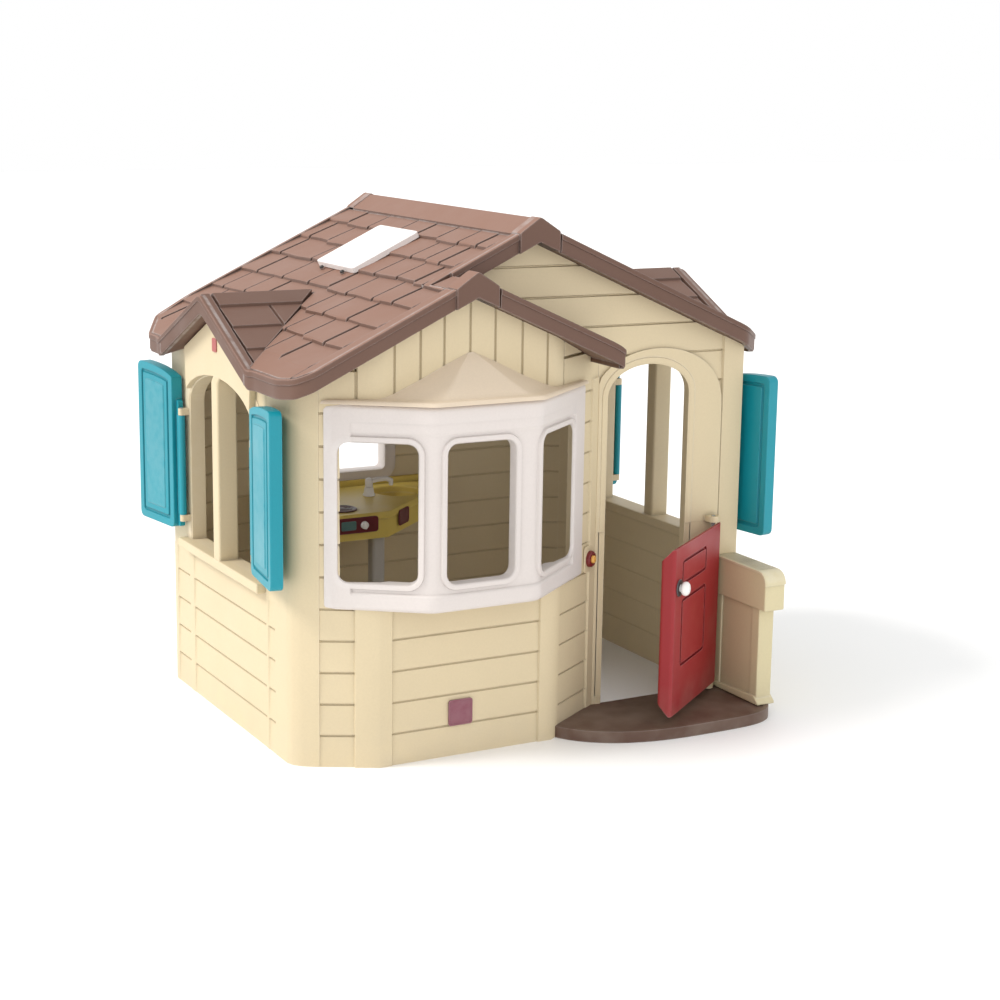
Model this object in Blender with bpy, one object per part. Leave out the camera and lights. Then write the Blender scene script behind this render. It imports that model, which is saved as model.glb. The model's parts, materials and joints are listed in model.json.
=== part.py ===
"""Plastic playhouse: moulded walls, shingled roof, bay window, half door, shutters and a play kitchen.

Metres, +Z up. The front faces -Y and +X is to the right of someone facing the front. Shapes are
drawn from the outer left wall face (x = 0) and the face of the bay wall (y = 0), and the finished
model is moved so that the origin is under the middle of its bounding box.
"""
import math

import bmesh
import bpy
from mathutils import Matrix, Vector

# ---- house shell -------------------------------------------------------------------------------
HOUSE_W = 1.505          # outer face of the left wall to outer face of the right wall
BACK_Y = 1.20            # outer face of the back wall
WALL_T = 0.04            # moulded wall thickness
DOOR_WALL_Y = 0.148      # how far the doorway wall stands behind the bay wall
DOOR_WALL_STEP = 1.114    # above this the doorway wall runs on behind the low gable
SIDE_START = 0.150       # where the straight side walls begin
SIDE_END = 1.050         # where they end
SEAM_IN = 0.067          # how far the wall seams lie from the side faces
SEAM_FRONT = 0.078
SEAM_BACK = 1.122
BAY_LEFT = 0.215         # corners of the bay wall's middle facet
BAY_RIGHT = 0.765
FACET_END = 0.990        # where the right facet meets the doorway wall
GAP = 0.0005             # clear gap between touching pieces

# ---- roof --------------------------------------------------------------------------------------
SLOPE = 0.478            # rise per metre of the left slopes
SLOPE_RIGHT = 0.447      # and of the right slopes
RIDGE_X = HOUSE_W / 2
SHINGLE_TOP = 1.489      # height the shingle planes would reach at the ridge
CAP_RISE = 0.022         # ridge cap above the shingle planes
CAP_W = 0.065            # half width of a ridge cap
ROOF_T = 0.0475          # thickness measured straight down
EAVE = 0.065             # overhang past the side walls
ROOF_BACK = 1.26
RAKE_MAIN = 0.090        # front edge of the main roof
RAKE_LOW = -0.055        # front edge of the roof over the bay wall
LOW_RIDGE_X = 0.480
LOW_ROOF_END = 0.965
DORMER_TOP = 1.267       # left dormer
RIGHT_DORMER_TOP = 1.290
DORMER_OUT = 0.072       # how far a dormer stands out from its wall
LEFT_DORMER_Y = 0.615
RIGHT_DORMER_Y = 0.600

# ---- windows, door and porch -------------------------------------------------------------------
SILL_Z = 0.485
WINDOW_HALF = 0.278
WINDOW_SPRING = 0.915
WINDOW_TOP = 1.030
MULLION_W = 0.050
MULLION_OUT = 0.028      # how far the mullion bows out of the wall face
BACK_WINDOW_X = (0.400, 0.800)
BACK_WINDOW_Z = (0.575, 0.945)
SHUTTER_W = 0.237
SHUTTER_Z = (0.519, 0.955, 1.015)    # bottom, top at the hinge, top at the free edge
HINGE_OUT = 0.024                    # hinge axis to wall face
HINGE_BESIDE = 0.012                 # hinge axis to window edge
LUG_HEIGHTS = ((0.545, 0.565), (0.875, 0.895))
SHUTTER_OPEN = math.radians(8.0)        # how far a shutter stands off the wall
LUG_HALF = 0.010         # half width of a shutter lug
PIN_R = 0.005
PIN_PLAY = 0.0004                    # radial clearance of every hinge bore
DOORWAY = (1.005, 1.328)
DOORWAY_SPRING = 0.975
DOORWAY_TOP = 1.085
DOOR_AXIS = (1.400, 0.120)
DOOR_LEN = 0.405
DOOR_T = 0.045
DOOR_Z = (0.060, 0.565)
DOOR_CHAMFER = 0.040
DOOR_OPEN = math.radians(37.0)
DOOR_PIN_R = 0.006
DOOR_LUGS = ((0.0385, 0.0565), (0.5685, 0.5865))
PORCH_TOP = 0.035
PORCH_DEEP = 0.310
PORCH_MIDDLE = 1.19
PORCH_HALVES = ((0.43, 2.4), (0.315, 4.5))   # half width and fullness to the left and to the right
RAIL_X = (1.438, 1.493)
RAIL_FRONT = -0.085
RAIL_CAP_X = (1.430, 1.505)
RAIL_CAP_Z = (0.335, 0.457)

# ---- bay window --------------------------------------------------------------------------------
BAY_Z = (0.455, 1.030)
BAY_OUT = -0.110
BAY_CORNERS = (0.328, 0.655)
BAY_ENDS = ((0.074, 0.075), (0.917, 0.096))
BAY_SHELL = 0.035
BAY_FLOOR = 0.040                    # thickness of the shell's sill and crown
BAY_HOLE_X = (0.118, 0.875)          # hole in the wall behind it
BAY_HOLE_Z = (0.500, 0.985)
PANE_Z = (0.535, 0.925)
PANE_MARGINS = ((0.044, 0.048), (0.040, 0.078), (0.020, 0.075))   # left, middle and right pane
BAY_EAVE = 0.010                     # overhang of the small roof
BAY_EAVE_T = 0.014
BAY_APEX_X = (0.470, 0.500)
BAY_APEX_Z = 1.160

# ---- small fittings ----------------------------------------------------------------------------
PLATE_T = 0.005
BELL_AT = 0.228                      # distance along the right facet
BELL_Z = 0.497
BELL_R = 0.025
BUTTON_R = 0.0120
BADGE_AT = (0.467, 0.128)
BADGE_HALF = 0.038
DORMER_BADGE_Z = 1.125
SKYLIGHT_X = 0.400                   # its lower edge on the left slope
SKYLIGHT_Y = 0.705
SKYLIGHT_HALF = 0.135
SKYLIGHT_LONG = 0.240
SKYLIGHT_T = 0.015
STUD_R = 0.007
KNOB_IN = 0.040                      # door knob to the free edge of the door
KNOB_Z = 0.435
KNOB_R = 0.019

# ---- kitchen -----------------------------------------------------------------------------------
COUNTER_TOP = 0.550
COUNTER_DEEP = 0.085
KITCHEN_BACK = BACK_Y - WALL_T - 0.002
COUNTER_LEFT = 0.300
COUNTER_FRONT = 0.745
COUNTER_CORNER = 0.600
COUNTER_SIDE = (0.925, 1.030)
BASIN = (0.760, 1.020)
BASIN_R = 0.082
FAUCET = (0.640, 0.985)
BURNERS = ((0.395, 0.960), (0.470, 0.825))
BURNER_R = 0.050
LEG_X = (0.330, 0.590)
LEG_Y = (0.800, 0.844)
LEG_HALF = 0.022
PANEL_X = (0.355, 0.560)
DIAL_X = (0.405, 0.510)
DIAL_DOWN = 0.035                    # dial centre to counter top
DIAL_R = 0.0125
SIDE_PANEL = (0.070, 0.150)          # from the corner, along the angled side

CREAM = (0.78, 0.66, 0.42)
BROWN = (0.30, 0.19, 0.14)
TEAL = (0.02, 0.33, 0.40)
RED = (0.42, 0.02, 0.03)
WHITE = (0.88, 0.82, 0.76)
YELLOW = (0.70, 0.52, 0.12)


def reset_scene():
    for obj in list(bpy.data.objects):
        bpy.data.objects.remove(obj, do_unlink=True)


def new_collection(name):
    collection = bpy.data.collections.new(name)
    bpy.context.scene.collection.children.link(collection)
    return collection


def plastic(name, colour, roughness=0.5, metallic=0.0):
    material = bpy.data.materials.new(name)
    material.use_nodes = True
    shader = material.node_tree.nodes["Principled BSDF"]
    shader.inputs["Base Color"].default_value = (*colour, 1.0)
    shader.inputs["Roughness"].default_value = roughness
    shader.inputs["Metallic"].default_value = metallic
    material.diffuse_color = (*colour, 1.0)
    return material


# ---- solids ------------------------------------------------------------------------------------
def finish_mesh(name, bm):
    bmesh.ops.recalc_face_normals(bm, faces=bm.faces)
    mesh = bpy.data.meshes.new(name)
    bm.to_mesh(mesh)
    bm.free()
    return mesh


def prism(name, outline, low, high, frame=None):
    """Extrude an outline from low to high along the third axis of frame, which is +Z by default."""
    bm = bmesh.new()
    face = bm.faces.new([bm.verts.new((u, v, low)) for u, v in outline])
    grown = bmesh.ops.extrude_face_region(bm, geom=[face])
    top = [item for item in grown["geom"] if isinstance(item, bmesh.types.BMVert)]
    bmesh.ops.translate(bm, verts=top, vec=(0, 0, high - low))
    if frame:
        bmesh.ops.transform(bm, matrix=frame, verts=bm.verts)
    return finish_mesh(name, bm)


def lifted(name, outlines, height, thickness):
    """Lift plan outlines onto a surface height(x, y), join them and thicken them straight down."""
    bm = bmesh.new()
    for outline in outlines:
        bm.faces.new([bm.verts.new((x, y, height(x, y))) for x, y in outline])
    bmesh.ops.remove_doubles(bm, verts=bm.verts, dist=1e-5)
    bmesh.ops.recalc_face_normals(bm, faces=bm.faces)
    grown = bmesh.ops.extrude_face_region(bm, geom=list(bm.faces))
    top = [item for item in grown["geom"] if isinstance(item, bmesh.types.BMVert)]
    bmesh.ops.translate(bm, verts=top, vec=(0, 0, -thickness))
    return finish_mesh(name, bm)


def box(name, low, high):
    bm = bmesh.new()
    bmesh.ops.create_cube(bm, size=1.0)
    size = [b - a for a, b in zip(low, high)]
    bmesh.ops.scale(bm, vec=size, verts=bm.verts)
    bmesh.ops.translate(bm, vec=[(a + b) / 2 for a, b in zip(low, high)], verts=bm.verts)
    return finish_mesh(name, bm)


def rod(name, centre, radius, low, high, frame=None, sides=20):
    bm = bmesh.new()
    bmesh.ops.create_cone(bm, cap_ends=True, segments=sides, radius1=radius, radius2=radius,
                          depth=high - low)
    bmesh.ops.translate(bm, vec=(centre[0], centre[1], (low + high) / 2), verts=bm.verts)
    if frame:
        bmesh.ops.transform(bm, matrix=frame, verts=bm.verts)
    return finish_mesh(name, bm)


def hull(name, points):
    bm = bmesh.new()
    for point in points:
        bm.verts.new(point)
    made = bmesh.ops.convex_hull(bm, input=bm.verts)
    loose = {item for item in made["geom_interior"] if isinstance(item, bmesh.types.BMVert)}
    bmesh.ops.delete(bm, geom=list(loose), context="VERTS")
    return finish_mesh(name, bm)


def add(name, mesh, material):
    obj = bpy.data.objects.new(name, mesh)
    PARTS.objects.link(obj)
    mesh.materials.clear()
    mesh.materials.append(material)
    return obj


def combine(obj, mesh, operation="DIFFERENCE"):
    """Cut a mesh from an object, or join one to it, with an exact Boolean."""
    tool = bpy.data.objects.new(f"{obj.name}_tool", mesh)
    CUTTERS.objects.link(tool)
    tool.display_type = "WIRE"
    tool.hide_render = True
    tool.parent = obj.parent
    step = obj.modifiers.new(operation.title(), "BOOLEAN")
    step.operation = operation
    step.solver = "EXACT"
    step.object = tool
    return obj


# ---- outlines ----------------------------------------------------------------------------------
def arc(centre, radius, start, end, steps=6):
    """Points of an arc, angles in degrees."""
    points = []
    for step in range(steps + 1):
        angle = math.radians(start + (end - start) * step / steps)
        points.append((centre[0] + radius * math.cos(angle), centre[1] + radius * math.sin(angle)))
    return points


def rounded(low, high, radius, steps=3):
    """A rounded rectangle."""
    corners = (((high[0] - radius, high[1] - radius), 0), ((low[0] + radius, high[1] - radius), 90),
               ((low[0] + radius, low[1] + radius), 180), ((high[0] - radius, low[1] + radius), 270))
    points = []
    for centre, start in corners:
        points += arc(centre, radius, start, start + 90, steps)
    return points


def arched(left, right, bottom, spring, top, steps=10):
    """An opening with an elliptical head."""
    middle = (left + right) / 2
    points = [(left, bottom), (right, bottom)]
    for step in range(steps + 1):
        angle = math.pi * step / steps
        points.append((middle + (right - left) / 2 * math.cos(angle),
                       spring + (top - spring) * math.sin(angle)))
    return points


def mirrored(outline):
    return [(HOUSE_W - x, y) for x, y in reversed(outline)]


def offset_line(line, distance):
    """Move an open line sideways, to its left, with mitred corners."""
    points = []
    for index, here in enumerate(line):
        normals = []
        for first, second in ((index - 1, index), (index, index + 1)):
            if first >= 0 and second < len(line):
                run = (Vector(line[second]) - Vector(line[first])).normalized()
                normals.append(Vector((-run.y, run.x)))
        mean = sum(normals, Vector((0, 0))).normalized()
        reach = distance / mean.dot(normals[0])
        points.append((here[0] + mean.x * reach, here[1] + mean.y * reach))
    return points


def band(line, thickness, seams=(None, None)):
    """The plan of a wall whose outer face is line and which is thick to the left of it. A seam is
    the direction in which that end is cut, so that two walls meet face to face."""
    inner = offset_line(line, thickness)
    for end, seam in zip((0, -1), seams):
        if seam:
            across = Vector(inner[end]) - Vector(line[end])
            reach = across.length_squared / across.dot(Vector(seam))
            inner[end] = tuple(Vector(line[end]) + Vector(seam) * reach)
    return list(line) + list(reversed(inner))


def elevation_yz():
    """A frame whose outline axes are world Y and Z, extruded along +X."""
    return Matrix(((0, 0, 1, 0), (1, 0, 0, 0), (0, 1, 0, 0), (0, 0, 0, 1)))


def elevation_xz():
    """A frame whose outline axes are world X and Z, extruded along -Y."""
    return Matrix(((1, 0, 0, 0), (0, 0, -1, 0), (0, 1, 0, 0), (0, 0, 0, 1)))


def facing(origin, across, up, out):
    """A frame at origin whose axes are three given directions."""
    columns = [Vector(across), Vector(up), Vector(out)]
    rows = [[columns[k][i] for k in range(3)] + [origin[i]] for i in range(3)]
    return Matrix(rows + [[0, 0, 0, 1]])


# ---- roof surfaces -----------------------------------------------------------------------------
def cap_height(distance):
    """Height given back near a ridge, where the cap stands above the shingles."""
    return CAP_RISE * max(0.0, 1.0 - abs(distance) / CAP_W)


def fall(distance):
    """How far a roof plane has dropped at a distance from its ridge, negative to the left."""
    return SLOPE * -distance if distance < 0 else SLOPE_RIGHT * distance


def main_height(x, y=0.0):
    return SHINGLE_TOP - fall(x - RIDGE_X) + cap_height(x - RIDGE_X)


def low_height(x, y=0.0):
    at_ridge = SHINGLE_TOP - SLOPE * (RIDGE_X - LOW_RIDGE_X)
    return at_ridge - fall(x - LOW_RIDGE_X) + cap_height(x - LOW_RIDGE_X)


def side_roof(dormer_y, front, slope, dormer_top):
    """Plan outlines of a side slope, seen as on the left: the slope and its dormer."""
    rise = dormer_top - (SHINGLE_TOP - slope * RIDGE_X)
    depth = rise / slope
    reach = (rise + slope * DORMER_OUT) / SLOPE
    valley = (depth, dormer_y)
    near = (-DORMER_OUT, dormer_y - reach)
    far = (-DORMER_OUT, dormer_y + reach)
    slope = front + [(-EAVE, near[1]), near, valley, far, (-EAVE, far[1]),
                     (-EAVE, SIDE_END + 0.03), (0.01, ROOF_BACK - 0.03), (0.12, ROOF_BACK)]
    dormer = [[near, (-DORMER_OUT, dormer_y), valley], [(-DORMER_OUT, dormer_y), far, valley]]
    return slope, dormer


def build_roof():
    brown = plastic("roof brown", BROWN, 0.55)
    front = [(LOW_RIDGE_X - CAP_W, RAKE_LOW), (0.0, RAKE_LOW), (-0.045, -0.02), (-EAVE, 0.06)]
    slope, dormer = side_roof(LEFT_DORMER_Y, front, SLOPE, DORMER_TOP)
    inner = [(RIDGE_X - CAP_W, ROOF_BACK), (RIDGE_X - CAP_W, RAKE_MAIN), (LOW_RIDGE_X, RAKE_MAIN),
             (LOW_RIDGE_X - CAP_W, RAKE_MAIN)]

    def left_height(x, y):
        if (x, y) == (-DORMER_OUT, LEFT_DORMER_Y):
            return DORMER_TOP
        return main_height(x)

    ridge = [[(RIDGE_X - CAP_W, RAKE_MAIN), (RIDGE_X, RAKE_MAIN), (RIDGE_X, ROOF_BACK),
              (RIDGE_X - CAP_W, ROOF_BACK)],
             [(RIDGE_X, RAKE_MAIN), (RIDGE_X + CAP_W, RAKE_MAIN), (RIDGE_X + CAP_W, ROOF_BACK),
              (RIDGE_X, ROOF_BACK)]]
    left = lifted("roof_left", [slope + inner] + dormer + ridge, left_height, ROOF_T)
    add("roof_left", left, brown)

    edge = RIDGE_X + CAP_W + GAP
    front = [(edge, RAKE_MAIN), (HOUSE_W - 0.02, RAKE_MAIN), (HOUSE_W + 0.03, RAKE_MAIN + 0.045),
             (HOUSE_W + EAVE, 0.17)]
    front = [(HOUSE_W - x, y) for x, y in front]
    slope, dormer = side_roof(RIGHT_DORMER_Y, front, SLOPE_RIGHT, RIGHT_DORMER_TOP)
    slope = mirrored(slope + [(HOUSE_W - edge, ROOF_BACK)])
    dormer = [mirrored(piece) for piece in dormer]

    def right_height(x, y):
        if x > HOUSE_W and y == RIGHT_DORMER_Y:
            return RIGHT_DORMER_TOP
        return main_height(x)

    add("roof_right", lifted("roof_right", [slope] + dormer, right_height, ROOF_T), brown)

    cap = [(LOW_RIDGE_X - CAP_W + GAP, RAKE_LOW), (LOW_RIDGE_X, RAKE_LOW),
           (LOW_RIDGE_X, RAKE_MAIN - GAP), (LOW_RIDGE_X - CAP_W + GAP, RAKE_MAIN - GAP)]
    strip = [(LOW_RIDGE_X, RAKE_LOW), (LOW_RIDGE_X + CAP_W, RAKE_LOW),
             (LOW_RIDGE_X + CAP_W, RAKE_MAIN - GAP), (LOW_RIDGE_X, RAKE_MAIN - GAP)]
    add("bay_ridge_cap", lifted("bay_ridge_cap", [cap, strip], low_height, ROOF_T), brown)

    edge = LOW_RIDGE_X + CAP_W + GAP
    strip = [(edge, RAKE_LOW), (LOW_ROOF_END - 0.02, RAKE_LOW), (LOW_ROOF_END, RAKE_LOW + 0.02),
             (LOW_ROOF_END, DOOR_WALL_Y - 0.002), (edge, DOOR_WALL_Y - 0.002)]
    add("bay_roof_right", lifted("bay_roof_right", [strip], low_height, ROOF_T), brown)


# ---- walls -------------------------------------------------------------------------------------
def wall_line_left():
    corner = [(SEAM_IN, SEAM_FRONT), (0.028, 0.104), (0.008, 0.125), (0.0, SIDE_START)]
    rear = [(0.0, SIDE_END), (0.008, 1.075), (0.028, 1.096), (SEAM_IN, SEAM_BACK)]
    return corner + rear


def above_eaves(dormer_y, wall_x, dormer_top):
    """Everything above a side wall's top edge, as a Y-Z outline."""
    top = main_height(wall_x) - ROOF_T - 0.002
    peak = dormer_top - ROOF_T - 0.004
    reach = (peak - top) / SLOPE
    return [(-1.0, top), (dormer_y - reach, top), (dormer_y, peak), (dormer_y + reach, top),
            (3.0, top), (3.0, 3.0), (-1.0, 3.0)]


def shutter_hinges(dormer_y):
    """The two hinge positions beside a side window."""
    return (dormer_y - WINDOW_HALF - HINGE_BESIDE, dormer_y + WINDOW_HALF + HINGE_BESIDE)


def side_wall(name, dormer_y, outline, mirror, material):
    """A side wall with its arched window, mullion and the lugs that carry the shutters."""
    wall = add(name, prism(name, outline, 0.0, 1.30), material)
    span = (HOUSE_W - 0.4, HOUSE_W + 0.5) if mirror else (-0.5, 0.4)
    eaves = above_eaves(dormer_y, *((HOUSE_W, RIGHT_DORMER_TOP) if mirror else (0.0, DORMER_TOP)))
    combine(wall, prism("above", eaves, *span, elevation_yz()))
    window = arched(dormer_y - WINDOW_HALF, dormer_y + WINDOW_HALF, SILL_Z, WINDOW_SPRING, WINDOW_TOP)
    combine(wall, prism("window", window, *span, elevation_yz()))

    def outward(x):
        return HOUSE_W - x if mirror else x

    def block(y_low, y_high, z_low, z_high, x_out, x_in):
        ends = sorted((outward(x_out), outward(x_in)))
        return box("block", (ends[0], y_low, z_low), (ends[1], y_high, z_high))

    edges = (dormer_y - MULLION_W / 2, dormer_y + MULLION_W / 2)
    bar = block(*edges, SILL_Z - 0.01, WINDOW_TOP + 0.01, -0.005, WALL_T - 0.005)
    combine(wall, bar, "UNION")
    bow = block(*edges, SILL_Z - 0.01, WINDOW_TOP - 0.04, -MULLION_OUT, WALL_T - 0.010)
    combine(wall, bow, "UNION")
    for hinge_y in shutter_hinges(dormer_y):
        for low, high in LUG_HEIGHTS:
            lug = block(hinge_y - LUG_HALF, hinge_y + LUG_HALF, low, high, -HINGE_OUT - LUG_HALF, 0.004)
            combine(wall, lug, "UNION")
        bore = rod("bore", (outward(-HINGE_OUT), hinge_y), PIN_R + PIN_PLAY, 0.50, 0.96)
        combine(wall, bore)
    return wall


def under_roof(height, peak_x):
    """Everything above a gable's underside, as an X-Z outline."""
    left = height(peak_x - 2.0) - ROOF_T - 0.002
    right = height(peak_x + 2.0) - ROOF_T - 0.002
    peak = left + 2.0 * SLOPE
    return [(peak_x - 2.0, left), (peak_x, peak), (peak_x + 2.0, right), (peak_x + 2.0, 3.0),
            (peak_x - 2.0, 3.0)]


def bay_wall_line():
    return [(FACET_END, DOOR_WALL_Y), (BAY_RIGHT, 0.0), (BAY_LEFT, 0.0), (SEAM_IN, SEAM_FRONT)]


def build_walls():
    cream = plastic("wall cream", CREAM, 0.5)
    front_seam = (0.5, 0.866)
    left_seam = (0.5, -0.866)
    right_seam = (-0.5, -0.866)
    line = wall_line_left()
    side_wall("left_wall", LEFT_DORMER_Y, band(line, -WALL_T, (front_seam, left_seam)), False, cream)

    line = [(HOUSE_W, DOOR_WALL_Y + WALL_T + GAP)] + [(HOUSE_W - x, y) for x, y in line[4:]]
    side_wall("right_wall", RIGHT_DORMER_Y, band(line, WALL_T, (None, right_seam)), True, cream)

    line = [(SEAM_IN + GAP, SEAM_FRONT), (BAY_LEFT, 0.0), (BAY_RIGHT, 0.0), (FACET_END, DOOR_WALL_Y)]
    outline = band(line, WALL_T, (front_seam, None))
    bay = add("bay_wall", prism("bay_wall", outline, 0.0, 1.5), cream)
    combine(bay, prism("above", under_roof(low_height, LOW_RIDGE_X), -0.5, 0.5, elevation_xz()))
    combine(bay, box("bay_hole", (BAY_HOLE_X[0], -0.3, BAY_HOLE_Z[0]), (BAY_HOLE_X[1], 0.4, BAY_HOLE_Z[1])))

    line = [(SEAM_IN + GAP, SEAM_BACK), (0.20, BACK_Y), (HOUSE_W - 0.20, BACK_Y),
            (HOUSE_W - SEAM_IN - GAP, SEAM_BACK)]
    outline = band(line, -WALL_T, (left_seam, right_seam))
    back = add("back_wall", prism("back_wall", outline, 0.0, 1.6), cream)
    combine(back, prism("above", under_roof(main_height, RIDGE_X), -2.0, 0.0, elevation_xz()))
    hole = rounded((BACK_WINDOW_X[0], BACK_WINDOW_Z[0]), (BACK_WINDOW_X[1], BACK_WINDOW_Z[1]), 0.04)
    combine(back, prism("back_hole", hole, -1.3, -1.0, elevation_xz()))

    start = FACET_END + 0.002
    outline = [(start, 0.0), (HOUSE_W, 0.0), (HOUSE_W, 1.6), (LOW_RIDGE_X - 0.02, 1.6),
               (LOW_RIDGE_X - 0.02, DOOR_WALL_STEP), (start, DOOR_WALL_STEP)]
    door_wall = prism("door_wall", outline, -DOOR_WALL_Y - WALL_T, -DOOR_WALL_Y, elevation_xz())
    wall = add("door_wall", door_wall, cream)
    combine(wall, prism("above", under_roof(main_height, RIDGE_X), -0.5, 0.5, elevation_xz()))
    doorway = arched(*DOORWAY, -0.1, DOORWAY_SPRING, DOORWAY_TOP)
    combine(wall, prism("doorway", doorway, -0.5, 0.0, elevation_xz()))
    for low, high in DOOR_LUGS:
        lug = box("lug", (DOOR_AXIS[0] - 0.018, DOOR_AXIS[1] - 0.018, low),
                  (DOOR_AXIS[0] + 0.018, DOOR_WALL_Y + 0.004, high))
        combine(wall, lug, "UNION")
    combine(wall, rod("bore", DOOR_AXIS, DOOR_PIN_R + PIN_PLAY, 0.0, 0.7))


def build_back_window():
    white = plastic("window white", WHITE, 0.45)
    low = (BACK_WINDOW_X[0] + GAP, BACK_WINDOW_Z[0] + GAP)
    high = (BACK_WINDOW_X[1] - GAP, BACK_WINDOW_Z[1] - GAP)
    rim = 0.022
    outline = rounded(low, high, 0.04)
    frame = prism("back_window_frame", outline, -BACK_Y - 0.006, -BACK_Y + WALL_T + 0.006,
                  elevation_xz())
    frame = add("back_window_frame", frame, white)
    clear = rounded((low[0] + rim, low[1] + rim), (high[0] - rim, high[1] - rim), 0.035)
    combine(frame, prism("clear", clear, -1.4, -1.0, elevation_xz()))


# ---- bay window --------------------------------------------------------------------------------
def bay_plan(grow=0.0):
    line = [BAY_ENDS[1], (BAY_CORNERS[1], BAY_OUT), (BAY_CORNERS[0], BAY_OUT), BAY_ENDS[0]]
    line = offset_line(line, grow)
    return line + [(0.12, 0.20), (0.88, 0.20)]


def behind_bay_wall():
    """Everything behind the bay wall's outer face, with a gap."""
    line = offset_line(bay_wall_line(), GAP)
    return line + [(0.0, 0.10), (0.0, 0.5), (1.2, 0.5), (1.2, DOOR_WALL_Y)]


def build_bay_window():
    white = plastic("bay white", WHITE, 0.45)
    frame = add("bay_window_frame", prism("bay_window_frame", bay_plan(), *BAY_Z), white)
    combine(frame, prism("wall", behind_bay_wall(), 0.0, 2.0))
    combine(frame, prism("void", bay_plan(-BAY_SHELL), BAY_Z[0] + BAY_FLOOR, BAY_Z[1] - BAY_FLOOR))
    corners = [BAY_ENDS[0], (BAY_CORNERS[0], BAY_OUT), (BAY_CORNERS[1], BAY_OUT), BAY_ENDS[1]]
    for start, end, margin in zip(corners, corners[1:], PANE_MARGINS):
        run = Vector(end) - Vector(start)
        along = (run.normalized().x, run.normalized().y, 0.0)
        plane = facing((start[0], start[1], 0.0), along, (0, 0, 1), (along[1], -along[0], 0.0))
        pane = rounded((margin[0], PANE_Z[0]), (run.length - margin[1], PANE_Z[1]), 0.03)
        combine(frame, prism("pane", pane, -0.06, 0.06, plane))

    beige = plastic("bay roof beige", (0.76, 0.62, 0.45), 0.5)
    low = BAY_Z[1] + GAP
    eave = bay_plan(BAY_EAVE)[:4]
    base = [(x, y, z) for z in (low, low + BAY_EAVE_T) for x, y in eave]
    inside = [(0.15, 0.06, low), (0.80, 0.06, low)]
    peak = [(x, 0.03, BAY_APEX_Z) for x in BAY_APEX_X]
    roof = add("bay_window_roof", hull("bay_window_roof", base + inside + peak), beige)
    combine(roof, prism("wall", behind_bay_wall(), 0.0, 2.0))


# ---- shutters ----------------------------------------------------------------------------------
def shutter_outline():
    """Front view of a shutter, u from the hinge edge to the free edge, v up."""
    bottom, hinge_top, free_top = SHUTTER_Z
    start = 0.016
    end = start + SHUTTER_W
    points = [(start, bottom + 0.015), (start + 0.015, bottom), (end - 0.02, bottom), (end, bottom + 0.02)]
    points += [(end, free_top - 0.025), (end - 0.02, free_top)]
    for step in range(1, 7):
        share = step / 6
        u = end - 0.02 - (SHUTTER_W - 0.02) * share
        points.append((u, hinge_top + (free_top - hinge_top) * math.sqrt(max(0.0, 1 - share ** 2))))
    return points


def build_shutter(name, x, y, toward, out, material, pin_material):
    """A shutter folded back, a little off the wall. toward is the Y direction of its free edge and
    out the X direction away from the wall."""
    hinge = bpy.data.objects.new(f"{name}_hinge", None)
    hinge.location = (x, y, 0.0)
    hinge.rotation_euler = (0, 0, -toward * out * SHUTTER_OPEN)
    PARTS.objects.link(hinge)
    plane = facing((0, 0, 0), (0, toward, 0), (0, 0, 1), (out, 0, 0))
    panel = prism(name, shutter_outline(), -0.020, 0.020, plane)
    leaf = add(name, panel, material)
    leaf.parent = hinge
    knuckle = (LUG_HEIGHTS[0][1] + 0.001, LUG_HEIGHTS[1][0] - 0.001)
    tongue = [(0.0, knuckle[0]), (0.030, knuckle[0]), (0.030, knuckle[1]), (0.0, knuckle[1])]
    combine(leaf, prism("tongue", tongue, -0.006, 0.006, plane), "UNION")
    combine(leaf, rod("knuckle", (0, 0), 0.0105, *knuckle), "UNION")
    combine(leaf, rod("bore", (0, 0), PIN_R + PIN_PLAY, 0.50, 0.96))
    pin = rod(f"{name}_pin", (x, y), PIN_R, LUG_HEIGHTS[0][0] - 0.002, LUG_HEIGHTS[1][1] + 0.002, sides=16)
    add(f"{name}_pin", pin, pin_material)


def build_shutters():
    teal = plastic("shutter teal", TEAL, 0.45)
    grey = plastic("hinge pin grey", (0.55, 0.55, 0.55), 0.5)
    for side, x, out, dormer_y in (("left", -HINGE_OUT, -1, LEFT_DORMER_Y),
                                   ("right", HOUSE_W + HINGE_OUT, 1, RIGHT_DORMER_Y)):
        front, rear = shutter_hinges(dormer_y)
        build_shutter(f"{side}_front_shutter", x, front, -1, out, teal, grey)
        build_shutter(f"{side}_rear_shutter", x, rear, 1, out, teal, grey)


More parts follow.
